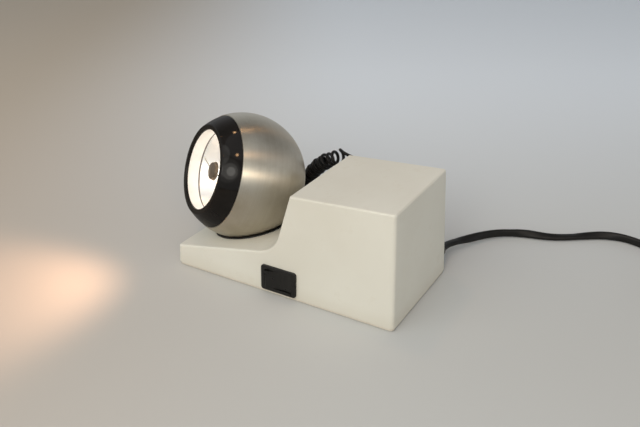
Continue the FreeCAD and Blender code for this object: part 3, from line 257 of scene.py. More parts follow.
def millimetres(rows):
    # rows of points in millimetres as an array in metres
    return np.array(rows, float) / 1000


# mains lead: a flat two-core lead that twists a little over the table, then a neat coil

mainsLead = {
    "width": 7.0,
    "thickness": 4.0,
    "around": 18,
    "ringStep": 1.8,
    "exit": (-68.6, 94.5, 7.5),
    "route": [
        (-68.6, 94.5, 7.5), (-74.6, 94.5, 7.5), (-82.3, 97.3, 7.3), (-89.4, 101.3, 7.0), (-98.7, 106.9, 6.4),
        (-110.5, 113.5, 5.5), (-123.4, 122.9, 4.6), (-131.9, 133.8, 3.9), (-137.6, 145.7, 3.7),
        (-140.7, 158.2, 3.2), (-145.8, 170.1, 2.6), (-153.4, 181.3, 2.5), (-161.5, 192.5, 2.9),
        (-168.1, 204, 3.6), (-171.1, 216.3, 3.75), (-170.8, 225.9, 3.75), (-167.6, 236.9, 3.75),
        (-163.8, 249.5, 3.75), (-160.6, 262.5, 3.8), (-159.6, 280.5, 4.0), (-159.6, 296.5, 4.2),
    ],
    # how far the lead is turned on its side, in degrees, against the distance from the boot
    "rollAt": [0, 20, 45, 75, 105, 130, 150, 175, 215, 250, 270],
    "roll": [0, 0, 70, 100, 20, 0, 40, 95, 80, 90, 90],
    "coilMiddle": (-115.7, 314.5),
    "coilOuter": 44.4,
    "coilInner": 31.4,
    "coilTurns": 6.25,
    "layers": (4.3, 11.4),  # height of the lead's middle in each layer
    "climb": (0.48, 0.52),  # shares of the coil between which it climbs to the upper layer
    "pointsPerTurn": 16,
    "leave": [(-107, 358.7, 9.8), (-98.5, 358.1, 7.4), (-89.9, 357.9, 6.9)],
}


def coilPoints(lead):
    # spirals in along the lower layer, climbs at the inside and spirals out along the upper one
    points = []
    total = int(lead["coilTurns"] * lead["pointsPerTurn"])
    x, y = lead["coilMiddle"]
    low, high = lead["layers"]
    climbFrom, climbTo = lead["climb"]
    for k in range(1, total):
        done = k / total
        inward = 1 - abs(2 * done - 1)
        radius = lead["coilOuter"] + (lead["coilInner"] - lead["coilOuter"]) * inward
        climbed = min(max((done - climbFrom) / (climbTo - climbFrom), 0), 1)
        angle = math.pi - 2 * math.pi * lead["coilTurns"] * done
        points.append((x + radius * math.cos(angle), y + radius * math.sin(angle),
                       low + (high - low) * climbed * climbed * (3 - 2 * climbed)))
    return points


mainsPoints = millimetres(mainsLead["route"] + coilPoints(mainsLead) + mainsLead["leave"])
mainsLine = evenLine(splineLine(mainsPoints), mainsLead["ringStep"] / 1000)
mainsRoll = np.radians(np.interp(alongLine(mainsLine) * 1000, mainsLead["rollAt"], mainsLead["roll"]))
mainsSection = flatSection(mainsLead["width"] / 1000, mainsLead["thickness"] / 1000, mainsLead["around"])
mains = ringTube("mainsLead", sweep(mainsLine, mainsSection, mainsRoll, upright=True))
print("mains lead: %.3f m" % alongLine(mainsLine)[-1])


# curly cord: from the bush in the far wall up to the ball

curlyCord = {
    "diameter": 2.6,
    "around": 14,
    "ringStep": 1.1,
    "axisStep": 0.1,
    "coilRadius": 5.45,
    "pointsPerTurn": 16,
    "bushTip": (-54.19, 50.5, 42),
    "glandTip": (-44.3, -26.53, 47.96),
    "tail": [
        (-54.19, 50.5, 42), (-61.19, 50.5, 42), (-66, 49.2, 45.8), (-67.2, 45.2, 51.8), (-66, 39.5, 59.5),
        (-63.4, 33.6, 67.2), (-60, 27.8, 73.4), (-56.8, 21.8, 77.4), (-52.3, 17.6, 79.9), (-49.6, 12.0, 83.0),
        (-51.2, 7.6, 84.2), (-54.2, 5.5, 83.3),
    ],
    "axis": [
        (-52.5, 9, 78.2), (-53, 3, 76), (-53.8, -3.2, 73), (-54.8, -10.2, 68.4), (-56, -16.4, 63),
        (-56.9, -22, 56.8), (-56.3, -26.5, 49.6), (-54.9, -29.4, 44.4),
    ],
    "leadIn": [(-60.6, -25.2, 41.0), (-59.0, -19.2, 41.2), (-53.2, -19.0, 43.6), (-48.65, -23.76, 46.06),
               (-44.3, -26.53, 47.96)],
    # millimetres between turns, against the distance along the coil's axis from the tail
    "pitchAt": [0, 8, 13, 19, 24, 60],
    "pitch": [6.8, 5.2, 6.6, 4.2, 3.0, 2.85],
    "skipped": 6,  # points of the first turn that the tail stands in for
    "closedIn": 0.16,  # share by which the coil is narrower at its ends
    "closingTurns": 0.6,
    "unevenness": (0.09, 2.1, 0.6),  # share of the radius, waves along the turns, and where they start
    "turnsFrom": (-55.8, -15.5, 64.5),  # a point on the coil's axis, part way along it
    "ballHalf": 38,  # millimetres of wire at the ball's end, made as a mesh of its own: the coil's end and the lead-in
}


def helixPoints(cord):
    # winds round the coil's axis; everything here is in millimetres
    axis = evenLine(splineLine(millimetres(cord["axis"])), cord["axisStep"] / 1000) * 1000
    side, normal = lineFrames(axis, upright=False)
    walked = alongLine(axis)
    pitch = np.interp(walked[1:], cord["pitchAt"], cord["pitch"])
    turns = np.concatenate([[0], np.cumsum(np.diff(walked) / pitch)])
    stops = np.arange(cord["skipped"], int(turns[-1] * cord["pointsPerTurn"])) / cord["pointsPerTurn"]
    share, waves, start = cord["unevenness"]
    points = []
    for stop in stops:
        k = min(int(np.searchsorted(turns, stop)), len(axis) - 1)
        opened = min(stop / cord["closingTurns"], (turns[-1] - stop) / cord["closingTurns"], 1)
        radius = cord["coilRadius"] * (1 - cord["closedIn"] * (1 - opened))
        radius *= 1 + share * math.sin(waves * stop + start)
        angle = 2 * math.pi * stop
        across, over = radius * math.cos(angle), radius * math.sin(angle)
        points.append(tuple(axis[k] + side[k] * across + normal[k] * over))
    print("curly cord: %.1f turns" % turns[-1])
    return points


curlyPoints = millimetres(curlyCord["tail"] + helixPoints(curlyCord) + curlyCord["leadIn"])
curlyLine = evenLine(splineLine(curlyPoints), curlyCord["ringStep"] / 1000)
curlyWalked = alongLine(curlyLine)
curlyRings = sweep(curlyLine, roundSection(curlyCord["diameter"] / 2000, curlyCord["around"]))
joinAt = int(np.searchsorted(curlyWalked, curlyWalked[-1] - curlyCord["ballHalf"] / 1000))
wallHalf = ringTube("curlyCordWallHalf", curlyRings[:joinAt + 1])
ballHalf = ringTube("curlyCordBallHalf", curlyRings[joinAt:])
print("curly cord halves: %.3f and %.3f m" % (curlyWalked[joinAt], curlyWalked[-1] - curlyWalked[joinAt]))


# rows of like pieces, laid out by geometry nodes

def repeatPiece(name, shape, places, swell, material):
    # copies of a shape on a row of places; swell stretches each copy along the three axes
    tree = bpy.data.node_groups.new(name + "Row", "GeometryNodeTree")
    face = tree.interface
    face.new_socket("Places", in_out="INPUT", socket_type="NodeSocketGeometry")
    pieceInput = face.new_socket("Piece", in_out="INPUT", socket_type="NodeSocketObject")
    sizeInput = face.new_socket("Size", in_out="INPUT", socket_type="NodeSocketFloat")
    finishInput = face.new_socket("Finish", in_out="INPUT", socket_type="NodeSocketMaterial")
    face.new_socket("Row", in_out="OUTPUT", socket_type="NodeSocketGeometry")
    given = addNode(tree, "NodeGroupInput").outputs
    source = addNode(tree, "GeometryNodeObjectInfo", {"Object": given["Piece"]}, transform_space="ORIGINAL")
    stretch = addNode(tree, "GeometryNodeInputNamedAttribute", {"Name": "swell"}, data_type="FLOAT_VECTOR")
    scaled = addNode(tree, "ShaderNodeVectorMath", {0: stretch.outputs[0], "Scale": given["Size"]},
                     operation="SCALE")
    copies = addNode(tree, "GeometryNodeInstanceOnPoints", {
        "Points": given["Places"], "Instance": source.outputs["Geometry"], "Scale": scaled.outputs[0]})
    real = addNode(tree, "GeometryNodeRealizeInstances", {0: copies.outputs[0]})
    dressed = addNode(tree, "GeometryNodeSetMaterial",
                      {"Geometry": real.outputs[0], "Material": given["Finish"]})
    addNode(tree, "NodeGroupOutput", {0: dressed.outputs[0]})

    row = meshPiece(name, places, [])
    stretches = row.data.attributes.new("swell", "FLOAT_VECTOR", "POINT")
    stretches.data.foreach_set("vector", np.array(swell, float).ravel())
    layout = row.modifiers.new("row", "NODES")
    layout.node_group = tree
    layout[pieceInput.identifier] = shape
    layout[sizeInput.identifier] = 1.0
    layout[finishInput.identifier] = material
    depsgraph = bpy.context.evaluated_depsgraph_get()
    laid = bpy.data.meshes.new_from_object(row.evaluated_get(depsgraph))
    row.modifiers.clear()
    row.data = laid
    bpy.data.objects.remove(shape)
    return row


def outward(piece):
    # merges doubles and turns the faces outwards
    shape = bmesh.new()
    shape.from_mesh(piece.data)
    bmesh.ops.remove_doubles(shape, verts=shape.verts, dist=1e-7)
    bmesh.ops.recalc_face_normals(shape, faces=shape.faces)
    shape.to_mesh(piece.data)
    shape.free()


def turned(name, profile, middle, axis, around):
    # an outline of (distance along the axis, radius) spun round an axis, in millimetres
    up = Vector(axis).normalized()
    side = up.orthogonal().normalized()
    other = up.cross(side)
    rings = [[Vector(middle) + up * along + (side * math.cos(t) + other * math.sin(t)) * radius
              for t in fullTurn(around)] for along, radius in profile]
    piece = ringTube(name, millimetres(rings))
    outward(piece)
    piece.data.polygons.foreach_set("use_smooth", [True] * len(piece.data.polygons))
    return piece


def joined(name, pieces):
    # one object from several
    shape = bmesh.new()
    for piece in pieces:
        shape.from_mesh(piece.data)
        bpy.data.objects.remove(piece)
    mesh = bpy.data.meshes.new(name)
    shape.to_mesh(mesh)
    shape.free()
    mesh.polygons.foreach_set("use_smooth", [True] * len(mesh.polygons))
    whole = bpy.data.objects.new(name, mesh)
    bpy.context.collection.objects.link(whole)
    return whole


def sharpAt(piece, degrees):
    # smooth shading that breaks at the crisp edges
    piece.data.set_sharp_from_angle(angle=math.radians(degrees))


# finishes; each pattern's size is in millimetres

ballMiddle = Vector((0, -0.05475, 0.0674))
beamAxis = Vector((0.7910, -0.5039, 0.3469)).normalized()

creamMoulding = {
    "light": "#DCDBD0",
    "dark": "#D6D4C8",
    "toneSize": 71.4,
    "handled": "#CBC4B2",
    "handledSize": 18.18,
    "handledShare": 0.35,
    # the painted shade near the table: its colour, the share it reaches and the height where it fades out
    "tableShade": "#C4BBA8",
    "tableShadeShare": 0.3,
    "tableShadeHeight": 14,
    "roughness": (0.46, 0.58),
    "roughSize": 25,
    "grain": 0.35,
    "grainStrength": 0.12,
    "grainDepth": 0.04,
}


def creamAbs(setup):
    # injection-moulded ABS with a fine spark-eroded texture: soft broad highlights, a little yellowed,
    # with faint rubbed patches; the real grain is 0.1 mm and is drawn coarser so that it shows
    material, tree, place = startMaterial("creamMouldedAbs")
    tone = varied(tree, place, setup["dark"], setup["light"], setup["toneSize"])
    touch = addNode(tree, "ShaderNodeTexNoise", {
        "Vector": place, "Scale": 1000 / setup["handledSize"], "Detail": 6, "Roughness": 0.7})
    patches = addNode(tree, "ShaderNodeMapRange", {
        "Value": touch.outputs["Fac"], "From Min": 0.56, "From Max": 0.74, "To Max": setup["handledShare"]})
    soiled = addNode(tree, "ShaderNodeMix", {0: patches.outputs[0], 6: tone, 7: linear(setup["handled"])},
                     data_type="RGBA")
    # painted shade: the cover darkens towards the table, where shade falls near the floor
    height = addNode(tree, "ShaderNodeSeparateXYZ", {0: place}).outputs["Z"]
    low = addNode(tree, "ShaderNodeMapRange", {
        "Value": height, "From Max": setup["tableShadeHeight"] / 1000,
        "To Min": setup["tableShadeShare"], "To Max": 0.0})
    colour = addNode(tree, "ShaderNodeMix", {
        0: low.outputs[0], 6: soiled.outputs[2], 7: linear(setup["tableShade"])}, data_type="RGBA")
    return shaded(material, {
        "Base Color": colour.outputs[2], "IOR": 1.52, "Specular IOR Level": 0.35,
        "Roughness": roughened(tree, place, setup["roughSize"], *setup["roughness"]),
        "Normal": grained(tree, place, setup["grain"], setup["grainStrength"], setup["grainDepth"])})


spunSteel = {
    "bright": "#C8C3B6",
    "dull": "#B6AE9E",
    "stained": "#A2967F",
    "stainSize": 22.2,
    "stainShare": 0.4,
    "roughness": (0.36, 0.43),
    "lineGap": 0.77,
    "lineLength": 83,
    "lineStrength": 0.1,
    "lineDepth": 0.01,
    "anisotropy": 0.93,
}


def brushLines(tree, place, setup):
    # noise drawn out into rings: the place is turned so that Z runs along the beam, then stretched
    side = beamAxis.orthogonal().normalized()
    turn = Matrix((side, beamAxis.cross(side), beamAxis))
    length, gap = 1000 / setup["lineLength"], 1000 / setup["lineGap"]
    moved = addNode(tree, "ShaderNodeVectorMath", {0: place, 1: ballMiddle}, operation="SUBTRACT")
    rotated = addNode(tree, "ShaderNodeMapping", {"Vector": moved.outputs[0], "Rotation": turn.to_euler()})
    stretched = addNode(tree, "ShaderNodeMapping", {
        "Vector": rotated.outputs[0], "Scale": (length, length, gap)})
    return addNode(tree, "ShaderNodeTexNoise", {
        "Vector": stretched.outputs[0], "Scale": 1.0, "Detail": 3, "Roughness": 0.6}).outputs["Fac"]


def satinSteel(setup):
    # spun stainless steel, satin-brushed round the beam: highlights draw out into bright wedges that
    # run from the ring to the back; brush lines are 0.1 mm and are drawn about 0.8 mm apart
    material, tree, place = startMaterial("satinSpunSteel")
    lines = brushLines(tree, place, setup)
    tone = addNode(tree, "ShaderNodeMix", {
        0: lines, 6: linear(setup["dull"]), 7: linear(setup["bright"])}, data_type="RGBA")
    cloud = addNode(tree, "ShaderNodeTexNoise", {
        "Vector": place, "Scale": 1000 / setup["stainSize"], "Detail": 5, "Roughness": 0.65})
    stain = addNode(tree, "ShaderNodeMapRange", {
        "Value": cloud.outputs["Fac"], "From Min": 0.45, "From Max": 0.7, "To Max": setup["stainShare"]})
    colour = addNode(tree, "ShaderNodeMix", {
        0: stain.outputs[0], 6: tone.outputs[2], 7: linear(setup["stained"])}, data_type="RGBA")
    low, high = setup["roughness"]
    rough = addNode(tree, "ShaderNodeMapRange", {
        "Value": lines, "From Min": 0.3, "From Max": 0.7, "To Min": low, "To Max": high})
    # the highlight's direction at each point is square to the brush, along the ball from ring to back
    arm = addNode(tree, "ShaderNodeVectorMath", {0: place, 1: ballMiddle}, operation="SUBTRACT")
    brush = addNode(tree, "ShaderNodeVectorMath", {0: arm.outputs[0], 1: beamAxis},
                    operation="CROSS_PRODUCT")
    along = addNode(tree, "ShaderNodeVectorMath", {0: brush.outputs[0], 1: arm.outputs[0]},
                    operation="CROSS_PRODUCT")
    bump = addNode(tree, "ShaderNodeBump", {
        "Height": lines, "Strength": setup["lineStrength"], "Distance": setup["lineDepth"] / 1000})
    return shaded(material, {
        "Base Color": colour.outputs[2], "Roughness": rough.outputs[0], "Normal": bump.outputs[0],
        "Metallic": 1.0, "Anisotropic": setup["anisotropy"], "Tangent": along.outputs[0]})


def glossBlack():
    # compression-moulded phenolic, polished: deep black with sharp small reflections and wipe marks
    material, tree, place = startMaterial("polishedBlackPhenolic")
    return shaded(material, {
        "Base Color": varied(tree, place, "#141210", "#1C1917", 16.7),
        "Roughness": roughened(tree, place, 11.1, 0.34, 0.44),
        "Normal": grained(tree, place, 1.11, 0.05, 0.03),
        "IOR": 1.56, "Specular IOR Level": 0.0, "Coat Weight": 0.34, "Coat Roughness": 0.085})


def plainPlastic(name, first, second, roughness, grain=1.43, strength=0.12):
    # moulded thermoplastic: a close pair of colours and a slightly uneven skin
    material, tree, place = startMaterial(name)
    return shaded(material, {
        "Base Color": varied(tree, place, first, second, 8.33),
        "Roughness": roughened(tree, place, 6.67, *roughness),
        "Normal": grained(tree, place, grain, strength, 0.03),
        "IOR": 1.5})


def workedMetal(name, first, second, roughness, size=2.5, squeeze=(1, 1, 1)):
    # rolled, drawn or turned metal: tone and gloss wander along the way it was worked, and squeeze
    # makes the marks narrower along an axis
    material, tree, place = startMaterial(name)
    way = addNode(tree, "ShaderNodeMapping", {"Vector": place, "Scale": squeeze}).outputs[0]
    return shaded(material, {
        "Base Color": varied(tree, way, first, second, size),
        "Roughness": roughened(tree, way, size, *roughness),
        "Metallic": 1.0})


gapShadeBands = {
    # depths along the beam, from the ball's middle, between which a line of painted shade lies, for the dark
    # gap between the sleeve and the bowl
    "sleeve": (23.0, 24.3),
    "bowl": (22.9, 24.0),
    "fade": 0.3,
}


def gapShadeBand(tree, place, part):
    # 1 on the part's line of painted gap shade and 0 away from it
    low, high = (depth / 1000 for depth in gapShadeBands[part])
    fade = gapShadeBands["fade"] / 1000
    arm = addNode(tree, "ShaderNodeVectorMath", {0: place, 1: ballMiddle}, operation="SUBTRACT")
    reach = addNode(tree, "ShaderNodeVectorMath", {0: arm.outputs[0], 1: beamAxis}, operation="DOT_PRODUCT")
    depth = reach.outputs["Value"]
    rise = addNode(tree, "ShaderNodeMapRange", {"Value": depth, "From Min": low - fade, "From Max": low})
    fall = addNode(tree, "ShaderNodeMapRange", {
        "Value": depth, "From Min": high, "From Max": high + fade, "To Min": 1.0, "To Max": 0.0})
    line = addNode(tree, "ShaderNodeMath", {0: rise.outputs[0], 1: fall.outputs[0]}, operation="MULTIPLY")
    return line.outputs[0]


def whiteSleeve():
    # white lacquered aluminium: matt, so that it spreads the lamp's light evenly round the mouth;
    # where it meets the lamp's bowl, a dark brown band is painted shade for the gap between them
    material, tree, place = startMaterial("whiteLacqueredAluminium")
    white = varied(tree, place, "#F0EDE8", "#F8F5F1", 12.5)
    colour = addNode(tree, "ShaderNodeMix", {
        0: gapShadeBand(tree, place, "sleeve"), 6: white, 7: linear("#2E1F16")}, data_type="RGBA")
    return shaded(material, {
        "Base Color": colour.outputs[2], "Roughness": roughened(tree, place, 8.33, 0.35, 0.5), "IOR": 1.5})


def mirrorBowl():
    # vacuum-metallised bowl with a fine stipple: bright, and it scatters the capsule's image; a little
    # light of its own stands for the many reflections inside it
    material, tree, place = startMaterial("stippledMetallisedBowl")
    bright = varied(tree, place, "#EDEBE6", "#F7F6F2", 6.67)
    # a dark band at the bowl's rim is painted shade, for the gap between bowl and sleeve
    colour = addNode(tree, "ShaderNodeMix", {
        0: gapShadeBand(tree, place, "bowl"), 6: bright, 7: linear("#3A2A1E")}, data_type="RGBA")
    return shaded(material, {
        "Base Color": colour.outputs[2], "Roughness": roughened(tree, place, 3.33, 0.28, 0.4),
        "Normal": grained(tree, place, 1.67, 0.4, 0.2), "Metallic": 1.0,
        "Emission Color": linear("#FFFAF2"), "Emission Strength": 0.26})


def litQuartz():
    # frosted quartz round a burning filament: it gives the lamp's warm white light
    material, tree, place = startMaterial("litFrostedQuartz")
    return shaded(material, {
        "Base Color": varied(tree, place, "#FFF1DC", "#FFF7EA", 3.33), "Roughness": 0.4, "IOR": 1.46,
        "Emission Color": linear("#FFF5EA"), "Emission Strength": 3.9})


def smoothBlack(name, first, second, roughness, shine):
    # extruded sheath or moulded shell: satin black, with faint marks from handling
    material, tree, place = startMaterial(name)
    return shaded(material, {
        "Base Color": varied(tree, place, first, second, 5),
        "Roughness": roughened(tree, place, 3.85, *roughness),
        "Normal": grained(tree, place, 0.833, 0.15, 0.04),
        "IOR": 1.53, "Specular IOR Level": shine})


def blackRubber(name):
    # moulded rubber: dull, with a bloom of grey dust
    material, tree, place = startMaterial(name)
    return shaded(material, {
        "Base Color": varied(tree, place, "#171615", "#24221F", 3.85),
        "Roughness": roughened(tree, place, 5, 0.6, 0.8),
        "Normal": grained(tree, place, 1.11, 0.3, 0.06),
        "IOR": 1.52, "Sheen Weight": 0.1})


def sleevedPins(sleeveEnd=-43.0):
    # nickel-plated brass, with the half next to the plug in a thin black insulating sleeve, which ends
    # at the given x
    material, tree, place = startMaterial("nickelledBrassPins")
    reach = addNode(tree, "ShaderNodeSeparateXYZ", {0: place}).outputs["X"]
    bare = addNode(tree, "ShaderNodeMapRange", {
        "Value": reach, "From Min": (sleeveEnd - 0.1) / 1000, "From Max": (sleeveEnd + 0.1) / 1000})
    metal = varied(tree, place, "#BDB6A4", "#CBC5B4", 1.67)
    colour = addNode(tree, "ShaderNodeMix", {0: bare.outputs[0], 6: linear("#181716"), 7: metal},
                     data_type="RGBA")
    return shaded(material, {
        "Base Color": colour.outputs[2], "Metallic": bare.outputs[0],
        "Roughness": roughened(tree, place, 1.67, 0.24, 0.36)})


def hookTape(ribStep=1.21):
    # woven nylon tape: fine cross ribs and a dull fibrous face; the real ribs are half as far apart
    material, tree, place = startMaterial("blackNylonTape")
    bandsPerUnit = 20 / (2 * math.pi)  # bands that the wave texture draws at scale 1
    weave = addNode(tree, "ShaderNodeTexWave", {
        "Vector": place, "Scale": 1000 / ribStep / bandsPerUnit, "Distortion": 1.2, "Detail": 2},
        bands_direction="X")
    bump = addNode(tree, "ShaderNodeBump", {
        "Height": weave.outputs["Fac"], "Strength": 0.5, "Distance": 0.0001})
    return shaded(material, {
        "Base Color": varied(tree, place, "#121212", "#222120", 2),
        "Roughness": roughened(tree, place, 3.33, 0.75, 0.9), "Normal": bump.outputs[0],
        "IOR": 1.5, "Sheen Weight": 0.25, "Sheen Roughness": 0.6})


finishes = {
    "cream": creamAbs(creamMoulding),
    "steel": satinSteel(spunSteel),
    "ring": glossBlack(),
    "sleeve": whiteSleeve(),
    "bowl": mirrorBowl(),
    "quartz": litQuartz(),
    "cap": workedMetal("greyLacqueredCap", "#7C6F61", "#8B7E6E", (0.38, 0.5)),
    "wire": workedMetal("springWire", "#A8A398", "#B9B4A9", (0.25, 0.4), 1.11),
    "nylon": plainPlastic("blackNylonSeat", "#151413", "#1D1B1A", (0.42, 0.55)),
    "switch": smoothBlack("blackPolycarbonate", "#0C0B0A", "#131210", (0.26, 0.36), 0.34),
    "sheath": smoothBlack("blackPvcSheath", "#0F0E0D", "#161513", (0.42, 0.56), 0.28),
    "curl": smoothBlack("blackPolyurethaneCurl", "#0A0A09", "#100F0E", (0.34, 0.46), 0.22),
    "plug": plainPlastic("blackPvcPlug", "#141312", "#1D1C1A", (0.45, 0.6)),
    "rubber": blackRubber("dustyBlackRubber"),
    "bush": blackRubber("softBlackBush"),
    "plate": plainPlastic("creamStovedSteel", "#CFC8B8", "#D6CFC0", (0.45, 0.58), 0.714, 0.08),
    "zinc": workedMetal("zincPlatedScrew", "#B4B2AA", "#C4C2BA", (0.28, 0.42), 1.43),
    "pins": sleevedPins(),
    "tie": hookTape(),
    "terminal": workedMetal("brassTerminal", "#B8985A", "#C8A968", (0.28, 0.4), 1.67),
    "bayonet": workedMetal("brassBayonetCap", "#B99A5E", "#C7AB72", (0.3, 0.42), 2),
    "phenolic": plainPlastic("brownPhenolicHolder", "#2B1F18", "#37281F", (0.35, 0.5)),
    "bracket": workedMetal("zincedBracket", "#A9A79F", "#BAB8B0", (0.35, 0.5), 3.33, (1, 1, 4)),
    "pot": workedMetal("nickelledPot", "#A39F95", "#B3AFA5", (0.3, 0.42), 3.33),
    "ferrite": plainPlastic("sinteredFerrite", "#2A2A2B", "#363636", (0.6, 0.75), 0.667, 0.3),
    "laminations": workedMetal("siliconSteelStack", "#6F7072", "#8A8B8C", (0.45, 0.6), 6.67, (18, 1, 1)),
    "bobbin": plainPlastic("paleNylonBobbin", "#D8D2BE", "#E2DCCA", (0.5, 0.6)),
    "copper": workedMetal("enamelledCopper", "#8E4A22", "#A65C2C", (0.25, 0.4), 8.33, (1, 1, 22)),
    "clip": workedMetal("springSteelClip", "#8B8C8C", "#A0A1A0", (0.35, 0.5), 3.85, (1, 6, 1)),
    "block": plainPlastic("naturalNylonBlock", "#DAD5C6", "#E5E1D4", (0.45, 0.55)),
}
dressing = {
    "cream": ["base_cover"],
    "plate": ["bottom_plate"],
    "rubber": ["rubber_feet"],
    "zinc": ["plate_screws", "strap_screws", "transformer_screws", "clamp_screws", "holder_screws"],
    "nylon": ["seat_ring"],
    "pot": ["magnet_pot", "magnet_strap"],
    "ferrite": ["seat_magnet"],
    "laminations": ["transformer_core"],
    "bobbin": ["transformer_bobbin"],
    "copper": ["primary_winding", "secondary_winding"],
    "clip": ["transformer_clamp"],
    "block": ["terminal_block", "cord_saddle", "cord_clamp"],
    "terminal": ["terminal_screws", "switch_tabs"],
    "switch": ["switch_frame", "switch_rocker"],
    "steel": ["ball_shell"],
    "ring": ["front_ring"],
    "sleeve": ["inner_sleeve"],
    "bowl": ["lamp_reflector"],
    "bayonet": ["lamp_base"],
    "quartz": ["lamp_capsule"],
    "cap": ["glare_cap"],
    "wire": ["cap_wires"],
    "phenolic": ["lamp_holder"],
    "bracket": ["holder_bracket", "gland_nut"],
    "bush": ["head_gland", "cord_bush", "mains_bush"],
    "sheath": ["secondary_tail", "mains_tail", "mains_lead", "mains_hank", "curly_lead_in", "curly_coil",
               "curly_tail"],
    "plug": ["mains_plug"],
    "pins": ["plug_pins"],
}


def dress(piece, material):
    if not piece.material_slots:
        piece.data.materials.append(material)
    for holder in piece.material_slots:
        holder.material = material


for finish, names in dressing.items():
    for name in names:
        dress(nodes[name], finishes[finish])
undressed = sorted(set(nodes) - {name for names in dressing.values() for name in names})
print("finishes made:", len(finishes), "undressed:", undressed)


# tapered boot where the mains lead leaves the far wall

mainsBoot = {
    "wall": (-48.6, 94.5, 7.5),
    # distance out from the wall, and radius
    "outline": [(-4.2, 4.9), (-2.6, 4.9), (-2.5, 4.2), (-0.2, 4.2), (-0.1, 5.5), (0.2, 5.8), (0.9, 5.8),
                (1.4, 5.5), (1.9, 4.9), (3.4, 4.75), (8, 4.5), (14, 4.2), (18.6, 3.95), (19.6, 3.8),
                (20, 3.5)],
    "taperFrom": 8,  # the outline's point where the long taper starts
    "around": 48,
    "ringsFrom": 4.2,
    "ringStep": 2.2,
    "ringCount": 7,
    "ringRadius": 4.5,
    "ringThick": 0.5,
}


def ringShape(radius, thick, around=40, facets=8):
    # one ring round the x axis, in metres
    small = [(math.cos(s), math.sin(s)) for s in fullTurn(facets)]
    verts = [(thick * s, (radius + thick * c) * math.cos(t), (radius + thick * c) * math.sin(t))
             for t in fullTurn(around) for c, s in small]
    faces = []
    for k in range(around):
        here, there = k * facets, (k + 1) % around * facets
        for i in range(facets):
            j = (i + 1) % facets
            faces.append((here + i, there + i, there + j, here + j))
    shape = meshPiece("bootRing", verts, faces)
    outward(shape)
    return shape


def makeBoot(setup):
    wall = Vector(setup["wall"])
    cone = turned("bootCone", setup["outline"], wall, (-1, 0, 0), setup["around"])
    steps = [setup["ringsFrom"] + k * setup["ringStep"] for k in range(setup["ringCount"])]
    places = [tuple((wall + Vector((-step, 0, 0))) / 1000) for step in steps]
    taper = list(zip(*setup["outline"][setup["taperFrom"]:]))
    sizes = [np.interp(step, *taper) / setup["ringRadius"] for step in steps]
    swell = [(1, size, size) for size in sizes]
    ring = ringShape(setup["ringRadius"] / 1000, setup["ringThick"] / 1000)
    boot = joined("mainsBoot", [cone, repeatPiece("bootRings", ring, places, swell, finishes["bush"])])
    dress(boot, finishes["bush"])
    return boot


boot = makeBoot(mainsBoot)
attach(boot, "base")
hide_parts("mains_bush")
print("boot made")


# two-pin mains plug lying beside the coil

mainsPlug = {
    "middle": (357.9, 6.9),  # y and z of the plug's axis
    # along x: width and height
    "outline": [(-89.7, 9.6, 8.4), (-88.4, 11.0, 9.6), (-84, 12.0, 10.4), (-79, 13.4, 11.2),
                (-75, 20.0, 12.4), (-70, 27.6, 13.1), (-62, 29.2, 13.3), (-55, 29.8, 13.3),
                (-52.6, 29.6, 13.1), (-51.9, 28.4, 12.0), (-51.75, 25.0, 9.0)],
    "ribsFrom": -71.5,
    "ribStep": 3.0,
    "ribCount": 6,
    "ribSize": (17.0, 1.4, 0.8),  # length, width and height
    "ribSunk": 0.15,
    "ribShortening": 0.06,  # share that each rib loses for each step from the middle of the row
    "creaseAngle": 50,
}


def ribShape(length, wide, high, around=10):
    # a low rounded bar across the plug: where each section stands along it, and how full it is
    sections = [(-0.5, 0.1), (-0.47, 0.5), (-0.42, 0.85), (-0.3, 1), (0, 1),
                (0.3, 1), (0.42, 0.85), (0.47, 0.5), (0.5, 0.1)]
    rings = [[(wide / 2 * math.cos(t) * full, stop * length, high / 2 * math.sin(t) * full)
              for t in fullTurn(around)] for stop, full in sections]
    shape = ringTube("plugRib", millimetres(rings))
    outward(shape)
    return shape


def makePlug(setup):
    y, z = setup["middle"]
    line = splineLine(setup["outline"], 6)
    rings = []
    for x, width, height in line:
        section = softSquare(width, height)
        rings.append(np.column_stack([np.full(len(section), x), y + section[:, 0], z + section[:, 1]]))
    body = ringTube("plugBody", millimetres(rings))
    outward(body)
    places, swell = [], []
    for k in range(setup["ribCount"]):
        x = setup["ribsFrom"] + k * setup["ribStep"]
        half = np.interp(x, line[:, 0], line[:, 2]) / 2
        fromMiddle = abs(k - (setup["ribCount"] - 1) / 2)
        for side in (1, -1):
            places.append((x / 1000, y / 1000, (z + side * (half - setup["ribSunk"])) / 1000))
            swell.append((1, 1 - setup["ribShortening"] * fromMiddle, 1))
    ribs = repeatPiece("plugRibs", ribShape(*setup["ribSize"]), places, swell, finishes["plug"])
    plug = joined("mainsPlug", [body, ribs])
    dress(plug, finishes["plug"])
    sharpAt(plug, setup["creaseAngle"])
    return plug


plug = makePlug(mainsPlug)
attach(plug, "base")
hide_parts("mains_plug")
print("plug made")


# hook-and-loop tie round the coil

coilTie = {
    "width": 12.0,
    "thickness": 0.6,
    "ringStep": 1.2,
    "fullness": 6,
    "around": 24,
    "at": -90,  # degrees round the coil
    # distance from the coil's middle, and height
    "loop": [(33, 15.3), (40, 15.35), (47.7, 15.6), (47.7, 8), (47.9, 0.36), (38, 0.36), (28, 0.36),
             (28, 8), (28, 16), (33, 16.05), (40, 16.1), (48.5, 16.3), (48.6, 10), (48.5, 6.5)],
}


